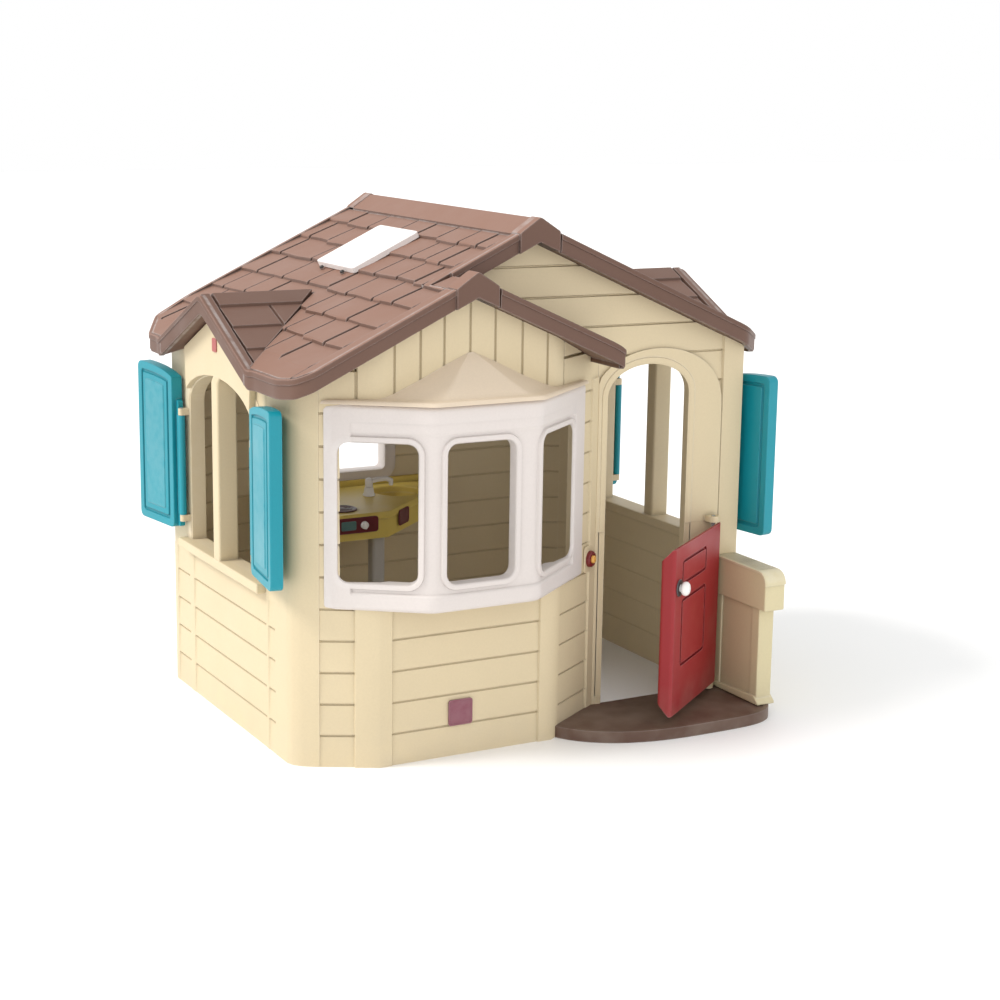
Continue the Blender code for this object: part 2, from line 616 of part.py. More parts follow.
# ---- door and porch ----------------------------------------------------------------------------
def build_door():
    red = plastic("door red", RED, 0.45)
    white = plastic("knob white", (0.90, 0.90, 0.88), 0.35)
    grey = plastic("door pin grey", (0.55, 0.55, 0.55), 0.5)
    hinge = bpy.data.objects.new("door_hinge", None)
    hinge.location = (*DOOR_AXIS, 0.0)
    hinge.rotation_euler = (0, 0, DOOR_OPEN)
    PARTS.objects.link(hinge)
    half = DOOR_T / 2
    plan = [(-DOOR_LEN + 0.008, half), (-DOOR_LEN, half - 0.008), (-DOOR_LEN, -half + 0.008),
            (-DOOR_LEN + 0.008, -half)] + arc((0, 0), half, -90, 90, 8)
    leaf = add("door_leaf", prism("door_leaf", plan, *DOOR_Z), red)
    leaf.parent = hinge
    reach = DOOR_CHAMFER + 0.02
    for edge, sign in ((DOOR_Z[1], 1), (DOOR_Z[0], -1)):
        inner = edge - DOOR_CHAMFER * sign
        outer = edge + 0.02 * sign
        wedge = [(-half + 0.008, outer), (-half + 0.008, edge), (half, inner), (half + reach, inner),
                 (half + reach, outer)]
        combine(leaf, prism("wedge", wedge, -0.5, 0.1, elevation_yz()))
    combine(leaf, rod("bore", (0, 0), DOOR_PIN_R + PIN_PLAY, 0.0, 0.7))
    add("door_pin", rod("door_pin", DOOR_AXIS, DOOR_PIN_R, DOOR_LUGS[0][0], DOOR_LUGS[1][1] + 0.002), grey)

    place = facing((-DOOR_LEN + KNOB_IN, -half - GAP, KNOB_Z), (1, 0, 0), (0, 0, 1), (0, -1, 0))
    knob = add("door_knob", rod("door_knob", (0, 0), 0.010, 0.0, 0.016, place), white)
    knob.parent = hinge
    combine(knob, ball("ball", (0, 0, 0.024), KNOB_R, place), "UNION")


def ball(name, centre, radius, frame):
    bm = bmesh.new()
    bmesh.ops.create_uvsphere(bm, u_segments=16, v_segments=10, radius=radius)
    bmesh.ops.translate(bm, vec=centre, verts=bm.verts)
    bmesh.ops.transform(bm, matrix=frame, verts=bm.verts)
    return finish_mesh(name, bm)


def porch_outline():
    """A D-shaped step: two superellipse quarters with their own widths and fullness."""
    (left, left_full), (right, right_full) = PORCH_HALVES
    back = DOOR_WALL_Y - 0.001
    points = []
    for step in range(13):
        share = -1 + step / 12
        depth = PORCH_DEEP * (1 - abs(share) ** left_full) ** (1 / left_full)
        points.append((PORCH_MIDDLE + left * share, back - depth))
    for step in range(1, 13):
        share = 1 - (1 - step / 12) ** 2
        depth = PORCH_DEEP * (1 - share ** right_full) ** (1 / right_full)
        points.append((PORCH_MIDDLE + right * share, back - depth))
    return points


def build_porch():
    brown = plastic("porch brown", (0.22, 0.14, 0.10), 0.55)
    porch = add("porch_step", prism("porch_step", porch_outline(), 0.0, PORCH_TOP), brown)
    combine(porch, prism("wall", behind_bay_wall(), -0.1, 0.2))

    pale = plastic("rail yellow", (0.74, 0.62, 0.32), 0.5)
    back = DOOR_WALL_Y - 0.001
    low = PORCH_TOP + GAP
    panel = [(back, low), (back, 0.40), (RAIL_FRONT, 0.40), (RAIL_FRONT, low)]
    rail = add("porch_rail", prism("porch_rail", panel, *RAIL_X, elevation_yz()), pale)
    bottom, top = RAIL_CAP_Z
    cap = [(back, bottom), (back, top), (0.0, top - 0.001)] + arc((-0.090, 0.424), 0.030, 90, 180, 4)
    cap += [(-0.120, bottom)]
    combine(rail, prism("cap", cap, *RAIL_CAP_X, elevation_yz()), "UNION")


# ---- small fittings ----------------------------------------------------------------------------
def facet_frame(distance, height):
    """A frame on the bay wall's right facet: across, up and out of the wall."""
    run = (Vector((FACET_END, DOOR_WALL_Y)) - Vector((BAY_RIGHT, 0.0))).normalized()
    start = Vector((BAY_RIGHT, 0.0)) + run * distance
    return facing((start.x, start.y, height), (run.x, run.y, 0), (0, 0, 1), (run.y, -run.x, 0))


def build_doorbell():
    cream = plastic("bell plate cream", CREAM, 0.5)
    red = plastic("bell red", (0.25, 0.03, 0.02), 0.4)
    yellow = plastic("bell button yellow", (0.80, 0.55, 0.15), 0.4)
    place = facet_frame(BELL_AT, BELL_Z)
    plate = rounded((-0.028, -0.040), (0.028, 0.040), 0.010)
    add("doorbell_plate", prism("doorbell_plate", plate, GAP, PLATE_T + GAP, place), cream)
    housing = add("doorbell_housing", rod("doorbell_housing", (0, 0), BELL_R, 0.006, 0.019, place, 28), red)
    combine(housing, rod("bell_bore", (0, 0), BUTTON_R + GAP, 0.0, 0.03, place))
    add("doorbell_button", rod("doorbell_button", (0, 0), BUTTON_R, 0.012, 0.025, place), yellow)


def build_badges():
    plum = plastic("badge plum", (0.30, 0.05, 0.12), 0.4)
    front = facing((BADGE_AT[0], 0.0, BADGE_AT[1]), (1, 0, 0), (0, 0, 1), (0, -1, 0))
    plate = rounded((-BADGE_HALF, -BADGE_HALF), (BADGE_HALF, BADGE_HALF), 0.008)
    add("front_badge", prism("front_badge", plate, GAP, PLATE_T, front), plum)
    side = facing((0.0, LEFT_DORMER_Y, DORMER_BADGE_Z), (0, -1, 0), (0, 0, 1), (-1, 0, 0))
    plate = rounded((-0.016, -0.020), (0.016, 0.020), 0.006)
    add("dormer_badge", prism("dormer_badge", plate, GAP, 0.004, side), plum)


def build_skylight():
    white = plastic("skylight white", WHITE, 0.4)
    grey = plastic("skylight stud grey", (0.12, 0.10, 0.09), 0.5)
    tilt = math.atan(SLOPE)
    along = (math.cos(tilt), 0.0, math.sin(tilt))
    out = (-math.sin(tilt), 0.0, math.cos(tilt))
    plane = facing((SKYLIGHT_X, SKYLIGHT_Y, main_height(SKYLIGHT_X)), along, (0, 1, 0), out)
    panel = rounded((0.0, -SKYLIGHT_HALF), (SKYLIGHT_LONG, SKYLIGHT_HALF), 0.012)
    add("skylight", prism("skylight", panel, 0.001, SKYLIGHT_T + 0.001, plane), white)
    for side, y in (("front", -0.075), ("rear", 0.075)):
        name = f"skylight_stud_{side}"
        add(name, rod(name, (-0.012, y), STUD_R, 0.001, 0.008, plane, 14), grey)


# ---- kitchen -----------------------------------------------------------------------------------
def counter_plan():
    return [(COUNTER_LEFT, KITCHEN_BACK), (COUNTER_LEFT, COUNTER_FRONT), (COUNTER_CORNER, COUNTER_FRONT),
            COUNTER_SIDE, (COUNTER_SIDE[0] + 0.01, KITCHEN_BACK)]


def build_kitchen():
    yellow = plastic("counter yellow", YELLOW, 0.4)
    white = plastic("tap white", (0.88, 0.86, 0.82), 0.35)
    dark = plastic("burner dark", (0.10, 0.05, 0.03), 0.4)
    red = plastic("panel red", (0.20, 0.02, 0.03), 0.4)
    leg_grey = plastic("leg cream", (0.60, 0.52, 0.42), 0.5)

    low = COUNTER_TOP - COUNTER_DEEP
    counter = add("kitchen_counter", prism("kitchen_counter", counter_plan(), low, COUNTER_TOP), yellow)
    combine(counter, rod("basin", BASIN, BASIN_R, COUNTER_TOP - 0.060, COUNTER_TOP + 0.1, sides=28))
    right = COUNTER_SIDE[0] + 0.005
    splash = [(COUNTER_LEFT, KITCHEN_BACK - 0.015), (right, KITCHEN_BACK - 0.015),
              (right, KITCHEN_BACK), (COUNTER_LEFT, KITCHEN_BACK)]
    combine(counter, prism("splash", splash, COUNTER_TOP - 0.01, COUNTER_TOP + 0.020), "UNION")

    for index, spot in enumerate(BURNERS):
        name = f"burner_{index + 1}"
        disc = rod(name, spot, BURNER_R, COUNTER_TOP + GAP, COUNTER_TOP + 0.006, sides=28)
        add(name, disc, dark)

    for name, x in zip(("counter_leg_left", "counter_leg_right"), LEG_X):
        leg = rounded((x - LEG_HALF, LEG_Y[0]), (x + LEG_HALF, LEG_Y[1]), 0.008, 2)
        add(name, prism(name, leg, 0.0, low - GAP), leg_grey)

    front = facing((0.0, COUNTER_FRONT, 0.0), (1, 0, 0), (0, 0, 1), (0, -1, 0))
    plate = rounded((PANEL_X[0], low + 0.025), (PANEL_X[1], COUNTER_TOP - 0.010), 0.010)
    add("control_panel", prism("control_panel", plate, GAP, 0.004, front), red)
    for index, x in enumerate(DIAL_X):
        name = f"stove_dial_{index + 1}"
        place = facing((x, COUNTER_FRONT, COUNTER_TOP - DIAL_DOWN), (1, 0, 0), (0, 0, 1), (0, -1, 0))
        knob = add(name, rod(name, (0, 0), DIAL_R, 0.0045, 0.016, place, 24), white)
        grip = rounded((-0.003, -0.011), (0.003, 0.011), 0.0015, 1)
        combine(knob, prism("grip", grip, 0.015, 0.022, place), "UNION")

    run = (Vector(COUNTER_SIDE) - Vector((COUNTER_CORNER, COUNTER_FRONT))).normalized()
    side = facing((COUNTER_CORNER, COUNTER_FRONT, 0.0), (run.x, run.y, 0), (0, 0, 1), (run.y, -run.x, 0))
    plate = rounded((SIDE_PANEL[0], low + 0.022), (SIDE_PANEL[1], COUNTER_TOP - 0.012), 0.010)
    add("side_panel", prism("side_panel", plate, GAP, 0.004, side), red)

    base = rod("faucet_base", FAUCET, 0.020, COUNTER_TOP + GAP, COUNTER_TOP + 0.030, sides=24)
    add("faucet_base", base, white)
    top = COUNTER_TOP + 0.0305
    neck = add("faucet_spout", rod("faucet_spout", FAUCET, 0.013, top, top + 0.028, sides=20), white)
    spout = facing((*FAUCET, top + 0.020), (0, 1, 0), (0, 0, 1), (1, 0, 0))
    combine(neck, rod("spout", (0, 0), 0.0085, 0.0, 0.088, spout, 16), "UNION")
    nose = (FAUCET[0] + 0.080, FAUCET[1])
    combine(neck, rod("nose", nose, 0.0075, top - 0.002, top + 0.020, sides=16), "UNION")


def move_to_origin():
    """Put the origin under the middle of the bounding box."""
    front = DOOR_WALL_Y - 0.001 - PORCH_DEEP
    shift = Vector((-HOUSE_W / 2, -(front + ROOF_BACK) / 2, 0.0))
    for obj in list(PARTS.objects) + list(CUTTERS.objects):
        if obj.parent is None:
            obj.location = obj.location + shift


reset_scene()
PARTS = new_collection("plastic playhouse")
CUTTERS = new_collection("cutters")
build_roof()
build_walls()
build_back_window()
build_bay_window()
build_shutters()
build_door()
build_porch()
build_doorbell()
build_badges()
build_skylight()
build_kitchen()
move_to_origin()
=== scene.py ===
import json
import math

import bmesh
import bpy
import numpy as np
from mathutils import Matrix, Vector

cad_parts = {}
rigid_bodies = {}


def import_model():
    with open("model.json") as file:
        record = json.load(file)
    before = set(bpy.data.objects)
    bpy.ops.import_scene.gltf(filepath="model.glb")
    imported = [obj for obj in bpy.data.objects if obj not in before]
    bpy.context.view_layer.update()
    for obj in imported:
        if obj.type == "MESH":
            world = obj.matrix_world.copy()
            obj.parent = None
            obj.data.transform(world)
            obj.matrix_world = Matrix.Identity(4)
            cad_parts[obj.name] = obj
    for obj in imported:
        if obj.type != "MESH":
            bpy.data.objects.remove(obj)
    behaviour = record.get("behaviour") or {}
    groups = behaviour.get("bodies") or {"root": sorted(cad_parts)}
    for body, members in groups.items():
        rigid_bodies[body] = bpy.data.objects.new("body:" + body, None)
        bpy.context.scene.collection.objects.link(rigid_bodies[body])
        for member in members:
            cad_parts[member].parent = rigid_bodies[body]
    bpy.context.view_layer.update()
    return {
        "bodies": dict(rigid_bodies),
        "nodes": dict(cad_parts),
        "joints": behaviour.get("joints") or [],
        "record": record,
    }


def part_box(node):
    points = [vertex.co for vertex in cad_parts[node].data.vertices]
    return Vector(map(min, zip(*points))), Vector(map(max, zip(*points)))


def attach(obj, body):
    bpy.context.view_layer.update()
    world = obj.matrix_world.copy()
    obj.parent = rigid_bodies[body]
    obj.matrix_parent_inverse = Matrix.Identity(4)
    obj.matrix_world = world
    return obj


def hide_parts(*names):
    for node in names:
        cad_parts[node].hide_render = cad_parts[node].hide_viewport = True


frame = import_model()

# Plastic playhouse. Everything below is drawn in house coordinates: metres, x from the left wall's
# outer face, y from the bay wall's face, z up. HOME moves it into the row frame.

# ---- driving dimensions, as in the CAD ---------------------------------------------------------
HOUSE_W = 1.505
BACK_Y = 1.20
WALL_T = 0.04
DOOR_WALL_Y = 0.148
SIDE_START = 0.150
SIDE_END = 1.050
SEAM_IN = 0.067
SEAM_FRONT = 0.078
SEAM_BACK = 1.122
BAY_LEFT = 0.215
BAY_RIGHT = 0.765
FACET_END = 0.990
GAP = 0.0005
SLOPE = 0.478
SLOPE_RIGHT = 0.447
RIDGE_X = HOUSE_W / 2
SHINGLE_TOP = 1.489
CAP_RISE = 0.022
CAP_W = 0.065
ROOF_T = 0.0475
EAVE = 0.065
ROOF_BACK = 1.26
RAKE_MAIN = 0.090
RAKE_LOW = -0.055
LOW_RIDGE_X = 0.480
LOW_ROOF_END = 0.965
DORMER_TOP = 1.267
RIGHT_DORMER_TOP = 1.290
DORMER_OUT = 0.072
LEFT_DORMER_Y = 0.615
RIGHT_DORMER_Y = 0.600
SILL_Z = 0.485
WINDOW_HALF = 0.278
WINDOW_SPRING = 0.915
WINDOW_TOP = 1.030
MULLION_W = 0.050
MULLION_OUT = 0.028                  # how far the mullion bows out of a side wall
GABLE_OUT = 0.022                    # how far the panel above a side window stands proud
SIDE_TOP = 1.30                      # heights that the walls are cut down from
BAY_TOP = 1.36
TALL_TOP = 1.50
PLAY = 0.0004                        # room around a hinge pin
DOOR_PIN_R = 0.006

BAY_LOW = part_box("bay_wall")[0]
HOME = Matrix.Translation((BAY_LOW.x - SEAM_IN - GAP, BAY_LOW.y, 0.0))


# ---- mesh tools --------------------------------------------------------------------------------
def slab(us, vs, place, top, under):
    """A closed slab over a grid. place(u, v, d) gives the point at height d over (u, v); top and
    under give the heights of its two sides."""
    bm = bmesh.new()
    sides = []
    for height in (top, under):
        sides.append([[bm.verts.new(place(u, v, height(u, v))) for v in vs] for u in us])
    upper, lower = sides
    last_u, last_v = len(us) - 1, len(vs) - 1
    for i in range(last_u):
        for j in range(last_v):
            for grid in sides:
                bm.faces.new((grid[i][j], grid[i + 1][j], grid[i + 1][j + 1], grid[i][j + 1]))
    for i in range(last_u):
        for j in (0, last_v):
            bm.faces.new((upper[i][j], upper[i + 1][j], lower[i + 1][j], lower[i][j]))
    for i in (0, last_u):
        bm.faces.new(upper[i] + lower[i][::-1])
    bmesh.ops.recalc_face_normals(bm, faces=bm.faces)
    bmesh.ops.dissolve_limit(bm, angle_limit=math.radians(0.4), verts=bm.verts, edges=bm.edges)
    return bm


def prism(outline, low, high, frame=None):
    """A closed outline extruded from low to high, then placed by frame."""
    bm = bmesh.new()
    face = bm.faces.new([bm.verts.new((u, v, low)) for u, v in outline])
    grown = bmesh.ops.extrude_face_region(bm, geom=[face])
    top = [item for item in grown["geom"] if isinstance(item, bmesh.types.BMVert)]
    bmesh.ops.translate(bm, verts=top, vec=(0, 0, high - low))
    if frame:
        bmesh.ops.transform(bm, matrix=frame, verts=bm.verts)
    bmesh.ops.recalc_face_normals(bm, faces=bm.faces)
    return bm


def box(low, high):
    outline = [(low[0], low[1]), (high[0], low[1]), (high[0], high[1]), (low[0], high[1])]
    return prism(outline, low[2], high[2])


def turned(profile, frame=None, steps=32):
    """A turned solid. profile is a list of (radius, height), starting and ending on the axis."""
    bm = bmesh.new()
    rings = []
    for radius, height in profile:
        count = 1 if radius < 1e-6 else steps
        ring = []
        for k in range(count):
            angle = 2 * math.pi * k / steps
            ring.append(bm.verts.new((radius * math.cos(angle), radius * math.sin(angle), height)))
        rings.append(ring)
    for below, above in zip(rings, rings[1:]):
        for k in range(steps):
            corners = [below[k % len(below)], below[(k + 1) % len(below)],
                       above[(k + 1) % len(above)], above[k % len(above)]]
            unique = list(dict.fromkeys(corners))
            if len(unique) > 2:
                bm.faces.new(unique)
    if frame:
        bmesh.ops.transform(bm, matrix=frame, verts=bm.verts)
    bmesh.ops.recalc_face_normals(bm, faces=bm.faces)
    return bm


def sweep(path, up, profile, closed=False):
    """Carry a closed profile along a path with mitred corners. A profile point (a, d) lies a to the
    right of the path, seen with up towards the viewer, and d along up."""
    up = Vector(up).normalized()
    path = [Vector(point) for point in path]
    count = len(path)
    bm = bmesh.new()
    rings = []
    for k, point in enumerate(path):
        sides = []
        for a, b in ((k - 1, k), (k, k + 1)):
            if closed or (a >= 0 and b < count):
                run = path[b % count] - path[a % count]
                run -= up * run.dot(up)
                sides.append(run.cross(up).normalized())
        mean = sum(sides, Vector()).normalized()
        mean /= max(0.3, mean.dot(sides[0]))
        rings.append([bm.verts.new(point + mean * a + up * d) for a, d in profile])
    spans = count if closed else count - 1
    size = len(profile)
    for k in range(spans):
        here, there = rings[k], rings[(k + 1) % count]
        for i in range(size):
            bm.faces.new((here[i], here[(i + 1) % size], there[(i + 1) % size], there[i]))
    if not closed:
        bm.faces.new(rings[0])
        bm.faces.new(list(reversed(rings[-1])))
    bmesh.ops.recalc_face_normals(bm, faces=bm.faces)
    return bm


def merge(*shapes):
    """Several closed shapes as one mesh. The shapes are used up."""
    joined = bmesh.new()
    for shape in shapes:
        mesh = bpy.data.meshes.new("part")
        shape.to_mesh(mesh)
        shape.free()
        joined.from_mesh(mesh)
        bpy.data.meshes.remove(mesh)
    return joined


def helper(shape):
    """A passing object for a Boolean."""
    mesh = bpy.data.meshes.new("tool")
    shape.to_mesh(mesh)
    shape.free()
    obj = bpy.data.objects.new("tool", mesh)
    bpy.context.scene.collection.objects.link(obj)
    return obj


def carve(shape, *tools, operation="DIFFERENCE"):
    """Apply exact Booleans with closed tools. The shape and the tools are used up."""
    base = helper(shape)
    used = [helper(tool) for tool in tools]
    for tool in used:
        step = base.modifiers.new("carve", "BOOLEAN")
        step.operation = operation
        step.solver = "EXACT"
        step.object = tool
    graph = bpy.context.evaluated_depsgraph_get()
    result = base.evaluated_get(graph).to_mesh()
    bm = bmesh.new()
    bm.from_mesh(result)
    base.evaluated_get(graph).to_mesh_clear()
    for obj in [base] + used:
        mesh = obj.data
        bpy.data.objects.remove(obj)
        bpy.data.meshes.remove(mesh)
    bmesh.ops.remove_doubles(bm, verts=bm.verts, dist=1e-6)
    return bm


def soften(bm, width, angle=40.0, segments=2, where=None):
    """Round the edges sharper than angle degrees."""
    edges = []
    for edge in bm.edges:
        if edge.calc_face_angle(0.0) > math.radians(angle) and (where is None or where(edge)):
            edges.append(edge)
    bmesh.ops.bevel(bm, geom=edges, offset=width, segments=segments, profile=0.5, affect="EDGES",
                    clamp_overlap=True)
    return bm


def mirror_x(bm):
    """Mirror a shape to the other side of the house."""
    bmesh.ops.transform(bm, matrix=Matrix.Translation((HOUSE_W, 0, 0)) @ Matrix.Scale(-1, 4, (1, 0, 0)),
                        verts=bm.verts)
    bmesh.ops.reverse_faces(bm, faces=bm.faces)
    return bm


def piece(name, shape, material, body, replaced=(), sharp=42.0, home=True):
    """Turn a shape into a finished, smooth-shaded piece that rides on a CAD body."""
    if home:
        bmesh.ops.transform(shape, matrix=HOME, verts=shape.verts)
    mesh = bpy.data.meshes.new(name)
    shape.to_mesh(mesh)
    shape.free()
    mesh.shade_smooth()
    mesh.set_sharp_from_angle(angle=math.radians(sharp))
    obj = bpy.data.objects.new(name, mesh)
    bpy.context.scene.collection.objects.link(obj)
    even = obj.modifiers.new("even normals", "WEIGHTED_NORMAL")
    even.keep_sharp = True
    mesh.materials.append(material)
    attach(obj, body)
    if replaced:
        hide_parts(*replaced)
    return obj


def cover(name, shape, material, body="house", sharp=42.0):
    """The detailed piece that stands for one CAD node, and is named after it."""
    return piece(f"{name}_shell", shape, material, body, [name], sharp)


# ---- outlines ----------------------------------------------------------------------------------
def arc(centre, radius, start, end, steps=6):
    points = []
    for step in range(steps + 1):
        angle = math.radians(start + (end - start) * step / steps)
        points.append((centre[0] + radius * math.cos(angle), centre[1] + radius * math.sin(angle)))
    return points


def rounded(low, high, radius, steps=6):
    """A rectangle with round corners."""
    corners = (((high[0] - radius, high[1] - radius), 0), ((low[0] + radius, high[1] - radius), 90),
               ((low[0] + radius, low[1] + radius), 180), ((high[0] - radius, low[1] + radius), 270))
    points = []
    for centre, start in corners:
        points += arc(centre, radius, start, start + 90, steps)
    return points


def arched(left, right, bottom, spring, top, steps=24):
    """A window outline: straight sides up to spring, and half an ellipse up to top."""
    middle = (left + right) / 2
    points = [(left, bottom), (right, bottom)]
    for step in range(steps + 1):
        angle = math.pi * step / steps
        points.append((middle + (right - left) / 2 * math.cos(angle),
                       spring + (top - spring) * math.sin(angle)))
    return points


def fillet(line, radius, steps=4):
    """Round the inner corners of an open line."""
    points = [Vector(line[0])]
    for before, corner, after in zip(line, line[1:], line[2:]):
        corner = Vector(corner)
        back, ahead = Vector(before) - corner, Vector(after) - corner
        reach = min(radius, back.length * 0.45, ahead.length * 0.45)
        start, end = corner + back.normalized() * reach, corner + ahead.normalized() * reach
        for step in range(steps + 1):
            share = step / steps
            points.append(start * (1 - share) ** 2 + corner * 2 * share * (1 - share) + end * share ** 2)
    points.append(Vector(line[-1]))
    return [tuple(point) for point in points]


def offset_line(line, distance):
    """Move an open line to its left, with mitred corners."""
    points = []
    for index, here in enumerate(line):
        normals = []
        for first, second in ((index - 1, index), (index, index + 1)):
            if first >= 0 and second < len(line):
                run = (Vector(line[second]) - Vector(line[first])).normalized()
                normals.append(Vector((-run.y, run.x)))
        mean = sum(normals, Vector((0, 0))).normalized()
        reach = distance / mean.dot(normals[0])
        points.append((here[0] + mean.x * reach, here[1] + mean.y * reach))
    return points


def inset(outline, distance):
    """Shrink a closed outline, with mitred corners."""
    points = [Vector(point) for point in outline]
    area = sum(a.x * b.y - b.x * a.y for a, b in zip(points, points[1:] + points[:1]))
    side = 1.0 if area > 0 else -1.0
    shrunk = []
    for k, here in enumerate(points):
        before = (here - points[k - 1]).normalized()
        after = (points[(k + 1) % len(points)] - here).normalized()
        first = Vector((-before.y, before.x)) * side
        mean = (first + Vector((-after.y, after.x)) * side).normalized()
        shrunk.append(tuple(here + mean * distance / max(0.3, mean.dot(first))))
    return shrunk


def facing(origin, across, up, out):
    """A frame with its X, Y and Z axes along across, up and out."""
    columns = [Vector(across), Vector(up), Vector(out)]
    rows = [[columns[k][i] for k in range(3)] + [origin[i]] for i in range(3)]
    return Matrix(rows + [[0, 0, 0, 1]])


def side_view():
    """Outline axes are world Y and Z, extruded along +X."""
    return facing((0, 0, 0), (0, 1, 0), (0, 0, 1), (1, 0, 0))


def front_view():
    """Outline axes are world X and Z, extruded along -Y."""
    return facing((0, 0, 0), (1, 0, 0), (0, 0, 1), (0, -1, 0))


# ---- materials ---------------------------------------------------------------------------------
def node(tree, kind, **values):
    made = tree.nodes.new(kind)
    for key, value in values.items():
        setattr(made, key, value)
    return made


def noise(tree, coords, scale, detail=3.0, rough=0.5):
    made = node(tree, "ShaderNodeTexNoise")
    made.inputs["Scale"].default_value = scale
    made.inputs["Detail"].default_value = detail
    made.inputs["Roughness"].default_value = rough
    tree.links.new(coords, made.inputs["Vector"])
    return made.outputs["Fac"]


def ramp(tree, value, low, high, start=0.0, end=1.0):
    """Map a value from low..high to start..end."""
    made = node(tree, "ShaderNodeMapRange")
    made.inputs["From Min"].default_value = low
    made.inputs["From Max"].default_value = high
    made.inputs["To Min"].default_value = start
    made.inputs["To Max"].default_value = end
    tree.links.new(value, made.inputs["Value"])
    return made.outputs["Result"]


def blend(tree, share, first, second):
    """Mix two colours. Each is a colour or a socket."""
    made = node(tree, "ShaderNodeMix", data_type="RGBA")
    for socket, value in ((made.inputs[0], share), (made.inputs[6], first), (made.inputs[7], second)):
        if isinstance(value, bpy.types.NodeSocket):
            tree.links.new(value, socket)
        elif isinstance(value, float):
            socket.default_value = value
        else:
            socket.default_value = (*value, 1.0)
    return made.outputs[2]


def closeness(tree, distance, inside):
    """1 on open surface, less in grooves (or, from inside, less along outer edges)."""
    made = node(tree, "ShaderNodeAmbientOcclusion", samples=3, inside=inside, only_local=True)
    made.inputs["Distance"].default_value = distance
    return made.outputs["AO"]


def scaled(colour, factor):
    return tuple(min(1.0, channel * factor) for channel in colour)


def moulded(name, colour, roughness=0.45, grain=0.5, edge_sheen_and_wear=0.35, painted_groove_shade=0.45, patch=0.05, dust=0.25,
            painted_sunlight=0.0):
    """Rotationally moulded plastic: faint colour drift, a fine pebbled skin, painted shade in grooves,
    paler outer edges (part painted highlight, part rubbed wear), painted sunlight on faces turned
    towards the key light, and a little dust near the ground."""
    material = bpy.data.materials.new(name)
    material.use_nodes = True
    tree = material.node_tree
    shader = tree.nodes["Principled BSDF"]
    coords = node(tree, "ShaderNodeTexCoord").outputs["Object"]
    geometry = node(tree, "ShaderNodeNewGeometry")

    drift = ramp(tree, noise(tree, coords, 2.3, 3.0), 0.3, 0.7)
    base = blend(tree, drift, scaled(colour, 1 - patch), scaled(colour, 1 + patch))
    speckle = ramp(tree, noise(tree, coords, 170.0, 2.0), 0.35, 0.65, 0.0, 0.09)
    base = blend(tree, speckle, base, scaled(colour, 0.72))

    # Painted sunlight: faces turned towards the key light are painted paler.
    if painted_sunlight:
        lit_side = node(tree, "ShaderNodeVectorMath", operation="DOT_PRODUCT")
        tree.links.new(geometry.outputs["Normal"], lit_side.inputs[0])
        lit_side.inputs[1].default_value = (-0.55, 0.20, 0.80)
        sunlit_share = ramp(tree, lit_side.outputs["Value"], 0.62, 0.92, 0.0, painted_sunlight)
        base = blend(tree, sunlit_share, base, scaled(colour, 1.9))
    # Painted shade: grooves and inner corners are darkened towards a third of the colour, where shade falls.
    painted_shade_mask = ramp(tree, closeness(tree, 0.016, False), 0.92, 0.45, 0.0, painted_groove_shade)
    base = blend(tree, painted_shade_mask, base, scaled(colour, 0.30))
    # Outer edges painted paler in patches: part painted highlight, part rubbed wear.
    edge_sheen_and_scuff = node(tree, "ShaderNodeMath", operation="MULTIPLY")
    tree.links.new(ramp(tree, closeness(tree, 0.0035, True), 0.90, 0.55, 0.0, edge_sheen_and_wear), edge_sheen_and_scuff.inputs[0])
    tree.links.new(ramp(tree, noise(tree, coords, 38.0, 4.0), 0.3, 0.6, 0.35, 1.0), edge_sheen_and_scuff.inputs[1])
    pale = tuple(channel * 0.55 + 0.42 for channel in colour)
    base = blend(tree, edge_sheen_and_scuff.outputs[0], base, pale)

    place = node(tree, "ShaderNodeSeparateXYZ")
    tree.links.new(geometry.outputs["Position"], place.inputs[0])
    low = ramp(tree, place.outputs["Z"], 0.16, 0.0, 0.0, dust)
    dusty = node(tree, "ShaderNodeMath", operation="MULTIPLY")
    tree.links.new(low, dusty.inputs[0])
    tree.links.new(ramp(tree, noise(tree, coords, 11.0, 5.0), 0.35, 0.7), dusty.inputs[1])
    base = blend(tree, dusty.outputs[0], base, (0.50, 0.44, 0.36))
    tree.links.new(base, shader.inputs["Base Color"])

    rough = ramp(tree, noise(tree, coords, 6.0, 4.0), 0.3, 0.7, roughness - 0.07, roughness + 0.08)
    tree.links.new(rough, shader.inputs["Roughness"])
    shader.inputs["Specular IOR Level"].default_value = 0.42

    skin = node(tree, "ShaderNodeBump")
    skin.inputs["Strength"].default_value = 0.22 * grain
    skin.inputs["Distance"].default_value = 0.0008
    tree.links.new(noise(tree, coords, 520.0, 2.0), skin.inputs["Height"])
    sway = node(tree, "ShaderNodeBump")
    sway.inputs["Strength"].default_value = 0.35 * grain
    sway.inputs["Distance"].default_value = 0.006
    tree.links.new(noise(tree, coords, 7.0, 1.0), sway.inputs["Height"])
    tree.links.new(skin.outputs["Normal"], sway.inputs["Normal"])
    tree.links.new(sway.outputs["Normal"], shader.inputs["Normal"])
    return material


CREAM = moulded("cream wall plastic", (0.66, 0.55, 0.36), 0.50, edge_sheen_and_wear=0.25, patch=0.03)
